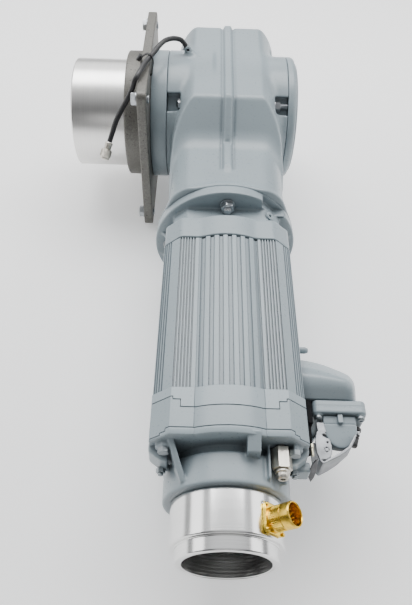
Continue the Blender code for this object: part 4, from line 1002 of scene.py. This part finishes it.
def build_sleeve(m):
    """The bright sleeve, with a flat pad where the round connector stands."""
    points, faces = revolve(sleeve_profile(), MOTOR_AXIS, ALONG, 240)
    points = np.array(points)
    base = np.array((0, CONNECTOR_Y, 0), float)
    out = np.array((math.cos(CONNECTOR_ANGLE), 0, math.sin(CONNECTOR_ANGLE)))
    u, v, _ = frame_of(out)
    rel = points - base
    height, a, b = rel @ out, rel @ u, rel @ v
    on_pad = (height > PAD_HEIGHT) & (np.abs(a) < PAD_HALF) & (np.abs(b) < PAD_HALF)
    points[on_pad] -= np.outer(height[on_pad] - PAD_HEIGHT, out)
    finish_mesh("threaded_sleeve_turned", points, faces, m["sleeve"], replaces=["threaded_sleeve"], sharp=38)
    build_connector(base, out, u, v, m)


def build_connector(base, out, u, v, m):
    """The gold connector: square foot, knurled barrel, four screws, dark insert and pins."""
    half = 11.6
    square = []
    for k in range(40):
        angle = 2 * math.pi * k / 40
        c, s = math.cos(angle), math.sin(angle)
        reach = min(half / max(abs(c), abs(s)), 14.9)
        square.append(u * c * reach + v * s * reach)
    rows = ((0.4, 46.3), (0.0, 46.6), (0.0, 48.6), (0.5, 49.1))
    foot = [base + out * height + spot * (1 - inset / half) for inset, height in rows for spot in square]
    barrel = [(5.3, 46.5), (10.0, 46.5), (10.0, 51.0), (9.8, 51.3), (9.8, 60.0), (10.4, 60.5), (10.4, 67.8),
              (9.8, 69.0), (9.1, 69.0), (8.7, 68.2), (8.7, 54.9), (5.3, 54.6)]
    shapes = [(foot, prism(len(rows), len(square))), turning(barrel, 0.35, base, out, 72)]
    for k in range(44):
        angle = 2 * math.pi * k / 44
        side = u * math.cos(angle) + v * math.sin(angle)
        across = v * math.cos(angle) - u * math.sin(angle)
        ridge = [base + side * (9.7 + rise) + out * height + across * aside
                 for height in (51.6, 59.6) for aside, rise in ((-0.4, 0), (0, 0.45), (0.4, 0))]
        shapes.append((ridge, prism(2, 3)))
    screw = [(0, 48.6), (1.7, 48.6), (1.7, 50.2), (1.2, 50.6), (0, 50.6)]
    for sa, sb in ((1, 1), (-1, 1), (-1, -1), (1, -1)):
        shapes.append(turning(screw, 0.2, base + u * sa * 9.6 + v * sb * 9.6, out, 20))
    hardware("round_connector_turned", shapes, m["gold"], replaces=["round_connector"])
    insert = [(0, 54.0), (4.6, 54.0), (4.6, 55.2), (8.3, 55.2), (8.3, 58.0), (0, 58.0)]
    lathe("connector_insert_moulded", insert, base, out, 56, m["brown_plastic"], 0.3, 35,
          replaces=["connector_insert"])
    pin = [(0, 57.5), (0.5, 57.5), (0.5, 62.8), (0.2, 63.3), (0, 63.3)]
    pins = []
    for count, radius in ((1, 0.0), (5, 3.0), (11, 6.2)):
        for k in range(count):
            angle = 2 * math.pi * k / count + 0.2
            at = base + (u * math.cos(angle) + v * math.sin(angle)) * radius
            pins.append(revolve(pin, at, out, 12))
    finish_mesh("connector_pins", *merge(*pins), m["gold"], sharp=35)


# ---------------------------------------------------------------- terminal housing and its plug


def dome_field(p):
    """A scoop from the motor's side: slanted front, level top and a steep drop to the plug."""
    x, y, z = p
    slant = 0.515 * (x - 84.0)
    front = meet(y + 168.0, (y + 168.0 + slant) * 0.889, 8.0)
    rise = meet((z - 24.0 + 0.70 * (170.0 + y)) / 1.22, (z - 24.0 + 0.70 * (170.0 + y + slant)) / 1.27, 8.0)
    drop = (z - 28.0 - 1.05 * (217.0 + y)) / 1.45
    top = meet(meet(z - 40.2, rise, 5.0), drop, 6.0)
    side = (x - 120.2 + 0.28 * (z - 22.0) - 0.11 * (194.0 + y)) / 1.05
    low = meet(-z - 25.0, (-z - 14.0 + 0.6 * (170.0 + y)) / 1.17, 6.0)
    body = meet(meet(top, front, 10.0), meet(side, low, 8.0), 9.0)
    body = meet(meet(body, SIDE_X + 0.3 - x), -217.0 - y)
    recess = between(p, (87.0, -219.0, -15.0), (114.0, -205.5, 18.0), 1.5)
    return cut(body, recess, 0.5)


def shaded_gap_boot_field(p):
    """The boot's two blocks and the flat strip above them; in matt black they also serve as painted shade for
    the dark gap between motor and plug.
    """
    wide = between(p, (66.3, -241.0, -8.0), (76.0, -217.4, 27.0), 1.5)
    strip = between(p, (66.3, -272.4, 26.9), (70.8, -230.0, 29.6), 0.6)
    return join(join(wide, strip), between(p, (66.3, -262.4, 3.6), (74.6, -238.0, 23.2), 1.5), 1.0)


def plug_flange_field(p):
    x, y, z = p
    dx, dz = np.abs(x - PLUG_X), np.abs(z - PLUG_Z)
    outline = rounded_box(dx, dz, 19.0, 21.5, 5.5)
    body = rounded_max(outline, np.abs(y + 223.9) - 6.4, 1.6)
    seam = np.abs(y + 223.6) - 0.35
    body = cut(body, rounded_max(seam, -(outline + 0.9), 0.1))
    window = between(p, (88.5, -240.0, -16.0), (112.5, -210.0, 18.0), 2.0)
    body = cut(body, window, 0.6)
    ears = span_of(dx - 19.2, dz - 21.0) - 4.4
    return join(body, rounded_max(ears, np.abs(y + 227.0) - 4.6, 0.6), 1.0)


def hood_field(p):
    """A wedge that falls away from the plug flange, with a middle rib and the tongue inside."""
    x, y, z = p
    back = np.minimum(y + 241.0, 0.0)
    outline = span_of(x - 100.9, back * 0.77) - 14.9
    fall = -y - 231.0
    top = z - 23.0 + 0.14 * fall
    under = (1.12 * fall - z - 21.0) / 1.5
    body = rounded_max(rounded_max(outline, top, 1.3), under, 1.0)
    body = rounded_max(body, y + 230.9, 0.4)
    body = body + 0.5 * np.exp(-(((y + 238.6) / 0.5) ** 2))
    rib = rounded_max(np.abs(x - 101.1) - 2.3, np.maximum(z - 25.6, np.abs(y + 234.4) - 4.4), 0.7)
    body = join(body, meet(rib, 10.0 - z), 0.8)
    tongue = between(p, (89.0, -240.0, -12.0), (112.0, -207.0, 15.5), 1.5)
    return join(body, tongue)


def lever_field(p):
    """Two cheeks with a bent side between them, a curved web behind and the link to the pivot."""
    x, y, z = p
    arm = polygon_field(x, y, ((78.6, -248.6), (80.0, -247.6), (84.6, -247.6), (87.0, -252.5), (89.0, -256.5),
                               (89.8, -262.0), (89.4, -267.5), (87.6, -272.0), (84.0, -274.2), (78.6, -274.2),
                               (76.6, -268.0), (76.4, -256.0))) - 0.3
    arm = cut(arm, capsule((x, y, 0 * z), (84.0, -251.6, 0), (87.2, -253.4, 0), 1.15))
    arm = cut(arm, span_of(x - 86.6, y + 258.6) - 0.8)
    arm = cut(arm, np.abs(span_of(x - 85.4, y + 265.4) - 2.0) - 0.22)
    top, low = [rounded_max(arm, np.abs(z - height) - 1.0, 0.3) for height in (25.3, 1.2)]
    link = polygon_field(x, y, ((79.5, -237.0), (86.5, -237.0), (88.0, -247.0), (80.5, -247.5)))
    link = rounded_max(link, np.abs(z - 20.5) - 1.2, 0.3)
    side = polygon_field(x, y, ((78.0, -273.8), (82.4, -276.2), (82.4, -277.8), (80.6, -278.0),
                                (78.0, -274.9)))
    side = rounded_max(side, np.abs(z - 13.0) - 13.2, 0.3)
    web = polygon_field(x, y, ((81.9, -278.0), (82.2, -276.0), (96.0, -268.0), (104.8, -261.6),
                               (111.6, -250.4), (113.3, -251.0), (106.6, -263.4), (97.0, -270.4)))
    foot = np.interp(x, (82.0, 90.0, 101.0, 113.0), (0.0, 0.6, 7.0, 15.0))
    web = rounded_max(web, np.maximum(z - 26.2, foot - z), 0.35)
    return join(join(join(top, web, 0.6), join(low, side, 0.6)), link)


def plate_between(name, near, far, corners, finish):
    """A flat piece between two distances along Y, with slightly rounded edges."""
    points = [(x, y, z) for y in (near, far) for x, z in corners]
    piece = finish_mesh(name, points, prism(2, len(corners)), finish, sharp=30)
    bevel = piece.modifiers.new("edges", "BEVEL")
    bevel.width = 0.0004
    bevel.segments = 2


def build_plug(m):
    """What sits on the motor's right side: plug, lever, latch, clip, bracket, boot (also painted shade in the
    gap) and plugs.
    """
    skin("plug_flange_cast", plug_flange_field, (73, -233, -28), (127, -215, 30), 0.75, m["grey"],
         ["plug_flange"])
    skin("plug_hood_cast", hood_field, (83, -262, -24), (117, -205, 29), 0.75, m["grey"], ["plug_hood"])
    skin("locking_lever_pressed", lever_field, (73, -281, -2), (117, -233, 29), 0.65, m["sheet"],
         ["locking_lever"], LEVER)
    screw = [(0, 231.0), (3.7, 231.0), (3.7, 233.8), (2.8, 235.2), (1.5, 235.4), (1.4, 234.0), (0, 234.0)]
    for number, (x, z) in enumerate(((82.0, 22.0), (120.2, 22.0), (82.0, -20.0), (120.2, -20.0)), 1):
        lathe(f"plug_screw_{number}", screw, (x, 0, z), REARWARD, 32, m["dull_screw"], 0.3, 35)
    latch = [(0, 0.4), (4.0, 0.4), (4.0, 3.6), (2.6, 4.2), (2.6, 6.0), (3.7, 6.6), (3.7, 8.0), (2.9, 8.4),
             (2.9, 9.2), (3.6, 9.8), (3.6, 11.0), (2.9, 11.6), (3.4, 12.4), (3.4, 18.0), (2.8, 19.6),
             (0, 19.8)]
    lathe("latch_screw_turned", latch, (121.5, -232.0, 2.0), (-0.30, -0.954, 0), 48, m["black"], 0.35,
          replaces=["latch_screw"])
    clip = ((113.6, 3.0), (121.0, 3.0), (121.6, 8.6), (114.4, 8.6))
    plate_between("latch_clip", -238.0, -240.4, clip, m["zinc"])
    sheet = ((69.6, 10.0), (69.6, 30.0), (71.4, 42.0), (73.0, 42.0), (75.4, 24.0), (76.0, 7.0), (74.4, -4.0))
    plate_between("side_bracket", -281.2, -282.6, sheet, m["dark_steel"])
    # The boot is matt black rubber put where the gap between motor and plug lies in shade: partly a real
    # boot, partly painted shade.
    skin("shaded_gap_boot", shaded_gap_boot_field, (65, -274, -10), (78, -216, 31), 0.8, m["shade_black_rubber"])
    stud = [(0, -272.6), (1.2, -272.6), (1.2, -266.0), (1.6, -265.4), (1.6, -261.6), (0, -261.6)]
    lathe("brass_pin", stud, (72.2, 0.0, 28.3), ALONG, 32, m["brass"], 0.3)
    stub = [(0, SIDE_X + 0.5), (3.4, SIDE_X + 0.5), (3.4, 79.0), (2.4, 81.6), (0, 82.0)]
    lathe("breather_turned", stub, (0, -152.0, 10.0), ACROSS, 40, m["grey"], 0.6, replaces=["breather_plug"])


# ---------------------------------------------------------------- cord and tie


def smooth_route(route, per_span):
    """Points along a smooth curve through the route."""
    points = []
    ends = [route[0]] + list(route) + [route[-1]]
    for i in range(1, len(ends) - 2):
        near = [Vector(ends[i + k]) for k in (-1, 0, 1, 2)]
        points += [bend(*near, k / per_span) for k in range(per_span)]
    return points + [Vector(route[-1])]


def build_cord(m):
    """The lead as one curve, with its connector and coupling nut."""
    points = smooth_route(CORD_ROUTE, 2)
    material, slot = m["rubber"]
    data = bpy.data.curves.new("sensor_lead", "CURVE")
    data.dimensions = "3D"
    data.bevel_depth = CORD_R * 0.001
    data.bevel_resolution = 8
    data.use_fill_caps = True
    spline = data.splines.new("POLY")
    spline.points.add(len(points) - 1)
    for spot, point in zip(spline.points, points):
        spot.co = (*place(tuple(point)), 1.0)
    spline.use_smooth = True
    lead = bpy.data.objects.new("sensor_lead", data)
    bpy.context.scene.collection.objects.link(lead)
    data.materials.append(material)
    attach(lead, ROOT)
    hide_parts("sensor_cord")
    length = sum((b - a).length for a, b in zip(points, points[1:])) * 0.001
    heading = (points[-1] - points[-2]).normalized()
    base = points[-1] + heading * 0.3
    shell = [(0, 0), (3.6, 0), (4.5, 0.9), (4.7, 1.6), (4.7, 2.6), (4.2, 3.0), (4.2, 8.0), (3.0, 8.2),
             (3.0, 20.6), (2.3, 20.9), (2.3, 19.4), (0, 19.4)]
    connector = lathe("cord_connector_turned", shell, base, heading, 48, m["nickel"], 0.25, slot="steel",
                      replaces=["cord_connector"])
    nut = build_coupling_nut(base, heading, m)
    tuple(place(CORD_ROUTE[0]))


def build_coupling_nut(base, heading, m):
    """A sleeve nut with crossed knurling; rows are (radius, distance, knurl phase)."""
    u, v, along = frame_of(heading)
    sides = 120
    rows = [(3.3, 8.7, 0), (5.2, 8.5, 0), (5.9, 9.1, 0), (5.9, 10.0, 0)]
    rows += [(6.25, 10.3 + 0.5 * k, 1 if k % 2 else -1) for k in range(15)]
    rows += [(5.9, 17.8, 0), (5.5, 18.2, 0), (5.5, 19.6, 0), (5.0, 20.4, 0), (3.3, 20.4, 0)]
    points = []
    for radius, distance, knurl in rows:
        for k in range(sides):
            angle = 2 * math.pi * k / sides
            raised = (k // 2 + (knurl > 0)) % 2
            ripple = 0.16 * abs(knurl) * (1 if raised else -1)
            side = u * math.cos(angle) + v * math.sin(angle)
            points.append(np.array(base) + along * distance + side * (radius + ripple))
    faces = strips(len(rows), sides, True)
    return finish_mesh("coupling_nut_knurled", points, faces, m["nickel"], NUT,
                       replaces=["cord_coupling_nut"], sharp=25)


def build_tie(m):
    """A strap round the cord and the plate's edge, with its toothed head and cut tail."""
    loop = [(-92.6, 172.0, 111.9), (-91.4, 173.0, 118.5), (-90.0, 175.0, 126.5), (-92.0, 177.0, 132.4),
            (-96.4, 178.6, 134.4), (-101.0, 180.0, 131.8), (-104.4, 180.0, 127.6), (-105.4, 176.0, 121.5),
            (-106.8, 173.0, 114.0), (-99.8, 172.0, 111.6)]
    loop = [np.array(spot) for spot in loop]
    path = []
    for i in range(len(loop)):
        near = [loop[(i + k) % len(loop)] for k in (-1, 0, 1, 2)]
        path += [bend(*near, k / 8) for k in range(8)]
    path = np.array(path)
    run = np.roll(path, -1, 0) - np.roll(path, 1, 0)
    outward = np.cross(run, (0.0, 1.0, 0.0))
    outward /= np.linalg.norm(outward, axis=1)[:, None]
    if ((path - path.mean(0)) * outward).sum() < 0:
        outward = -outward
    strap = []
    for offset, y in ((-0.5, -1.8), (0.5, -1.8), (0.5, 1.8), (-0.5, 1.8)):
        strap += list(path + outward * offset + np.array((0.0, y, 0.0)))
    centre = np.array((-107.0, 183.4, 126.6))
    along, across, up = np.array(((0.62, 0.1, 0.78), (-0.15, 0.98, 0.0), (-0.76, -0.12, 0.63)))
    head = [centre + up * height + (along * a * 3.4 + across * b * 3.0) * share
            for height, share in ((-2.3, 0.8), (-1.8, 1.0), (1.8, 1.0), (2.3, 0.8))
            for a, b in ((-1, -1), (1, -1), (1, 1), (-1, 1))]
    tail = [centre + up * (1.2 + 0.1 * step + a) - along * (2.6 + 0.5 * step) + across * b
            for step in range(5)
            for a, b in ((-0.5, -1.6), (0.5, -1.6), (0.5, 1.6), (-0.5, 1.6))]
    shapes = merge((strap, strips(4, len(path), True)), (head, prism(4, 4)), (tail, prism(5, 4)))
    finish_mesh("cable_tie_strap", *shapes, m["tie"], replaces=["cable_tie"], sharp=40)


# ---------------------------------------------------------------- the rest


def dress_inside(nodes, m):
    """Materials for the inner parts that keep their CAD shapes."""
    finishes = {
        "bronze": ("worm_wheel",),
        "copper": ("winding_front", "winding_rear"),
        "rubber": ("output_seal_left", "output_seal_right", "motor_shaft_seal"),
        "steel": ("output_shaft", "output_bearing_left", "output_bearing_right", "worm_shaft", "helical_gear",
                  "worm_bearing_front", "worm_bearing_rear", "rotor_shaft", "rotor_core", "stator_core",
                  "motor_bearing_front", "motor_bearing_rear"),
    }
    for finish, names in finishes.items():
        for name in names:
            mesh = nodes[name].data
            mesh.materials.clear()
            mesh.materials.append(m[finish][0])


def area_light(name, at, size, power):
    data = bpy.data.lights.new(name, "AREA")
    data.shape = "RECTANGLE"
    data.size, data.size_y = size
    data.energy = power
    light = bpy.data.objects.new(name, data)
    light.location = Vector(at)
    toward = Vector(LIGHT_TARGET) - Vector(at)
    light.rotation_euler = toward.to_track_quat("-Z", "Y").to_euler()
    bpy.context.scene.collection.objects.link(light)


def build_studio():
    """A pale floor, a soft surround and five large panels."""
    mesh = bpy.data.meshes.new("studio_floor")
    corners = [(x * 6, y * 6, -0.001) for x, y in ((-1, -1), (1, -1), (1, 1), (-1, 1))]
    mesh.from_pydata(corners, [], [(0, 1, 2, 3)])
    floor = bpy.data.objects.new("studio_floor", mesh)
    bpy.context.scene.collection.objects.link(floor)
    p = Paint("pale_floor", 0.0, 0.9)
    tone = p.span(p.noise(2.0), 0.93, 0.97)
    p.link(p.mix(tone, (0.0, 0.0, 0.0), (0.97, 0.97, 0.97)), p.shader.inputs["Base Color"])
    p.shader.inputs["Emission Color"].default_value = (1.0, 1.0, 1.0, 1.0)
    p.shader.inputs["Emission Strength"].default_value = 0.35
    mesh.materials.append(p.material)
    build_surround()
    area_light("overhead", (0.0, 0.73, 1.40), (1.9, 0.8), 34.0)
    area_light("back", (-0.3, 1.6, 0.9), (1.6, 0.7), 5.0)
    area_light("front", (0.1, -1.5, 0.75), (1.2, 0.6), 2.0)
    for name, x in (("left_panel", -1.25), ("right_panel", 1.25)):
        area_light(name, (x, 0.25, 0.75), (1.6, 0.7), 8.0)


def build_surround():
    """A soft studio surround: bright above, mid grey behind the object, darker in front of it."""
    world = bpy.data.worlds.new("studio")
    world.use_nodes = True
    tree = world.node_tree
    parts = tree.nodes.new("ShaderNodeSeparateXYZ")
    tree.links.new(tree.nodes.new("ShaderNodeTexCoord").outputs["Generated"], parts.inputs["Vector"])

    def ramp(stops):
        node = tree.nodes.new("ShaderNodeValToRGB")
        fill_ramp(node.color_ramp, [(at, (tone * 0.985, tone, tone * 1.02)) for at, tone in stops])
        half = tree.nodes.new("ShaderNodeMapRange")
        half.inputs["From Min"].default_value = -1.0
        tree.links.new(parts.outputs["Z"], half.inputs["Value"])
        tree.links.new(half.outputs["Result"], node.inputs["Fac"])
        return node.outputs["Color"]

    front = ramp([(0.40, 0.20), (0.47, 0.030), (0.84, 0.035), (0.93, 0.12), (1.0, 0.2)])
    behind = ramp([(0.40, 0.20), (0.50, 0.14), (0.80, 0.16), (0.90, 0.3), (0.96, 0.3)])
    turn = tree.nodes.new("ShaderNodeMapRange")
    turn.interpolation_type = "SMOOTHSTEP"
    turn.inputs["From Min"].default_value = -0.15
    turn.inputs["From Max"].default_value = 0.35
    tree.links.new(parts.outputs["Y"], turn.inputs["Value"])
    blend = tree.nodes.new("ShaderNodeMix")
    blend.data_type = "RGBA"
    for source, socket in ((turn.outputs["Result"], 0), (front, 6), (behind, 7)):
        tree.links.new(source, blend.inputs[socket])
    background = tree.nodes["Background"].inputs
    tree.links.new(blend.outputs[2], background["Color"])
    background["Strength"].default_value = 3.2
    bpy.context.scene.world = world


def make_finishes():
    """Each finish is a material with the slot that its pieces usually have."""
    return {
        "grey": (grey_paint(), "grey_paint"),
        "iron": (cast_iron(), "cast_iron"),
        "hub": (turned("turned_aluminium_hub", (0.88, 0.87, 0.85), 0.30, 0), "bright_aluminium"),
        "sleeve": (turned("turned_aluminium_sleeve", (0.88, 0.88, 0.87), 0.17, 1), "bright_aluminium"),
        "zinc": (plated("zinc_plate", (0.46, 0.48, 0.50), 0.34), "zinc_plate"),
        "sheet": (plated("zinc_sheet", (0.34, 0.35, 0.365), 0.5, 120.0), "zinc_plate"),
        "nickel": (plated("nickel_plate", (0.64, 0.61, 0.54), 0.32), "zinc_plate"),
        "gold": (plated("gold_plate", (0.93, 0.61, 0.08), 0.22), "gold_plate"),
        "brass": (plated("brass", (0.80, 0.74, 0.56), 0.35), "bronze"),
        "dull_screw": (plated("painted_screw", (0.30, 0.33, 0.345), 0.45), "zinc_plate"),
        "dark_steel": (plated("blackened_steel", (0.10, 0.10, 0.105), 0.4), "steel"),
        "steel": (turned("ground_steel", (0.62, 0.62, 0.63), 0.3, 1), "steel"),
        "bronze": (turned("bronze_wheel", (0.60, 0.40, 0.17), 0.34, 0), "bronze"),
        "copper": (plated("copper_winding", (0.72, 0.32, 0.16), 0.35, 900.0), "copper"),
        "rubber": (moulded("cord_rubber", (0.012, 0.012, 0.013), 0.42), "black_rubber"),
        "black": (moulded("black_moulding", (0.016, 0.016, 0.017), 0.45), "black_plastic"),
        # Very dark, low-shine rubber for the boot, also standing in for the shade in the gap beside the plug.
        "shade_black_rubber": (moulded("shade_black_rubber", (0.006, 0.006, 0.007), 0.85, 0.15), "black_rubber"),
        "tie": (moulded("tie_nylon", (0.010, 0.010, 0.011), 0.38), "black_plastic"),
        "brown_plastic": (moulded("insert_plastic", (0.022, 0.014, 0.008), 0.5), "black_plastic"),
    }


def main():
    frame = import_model()
    m = make_finishes()
    set_camera()
    build_cord(m)
    build_tie(m)
    build_gear_unit(m)
    build_motor(m)
    build_sleeve(m)
    skin("terminal_dome_cast", dome_field, (64, -220, -28), (123, -165, 43), 0.9, m["grey"],
         ["terminal_dome"])
    build_plug(m)
    dress_inside(frame["nodes"], m)
    build_studio()


main()
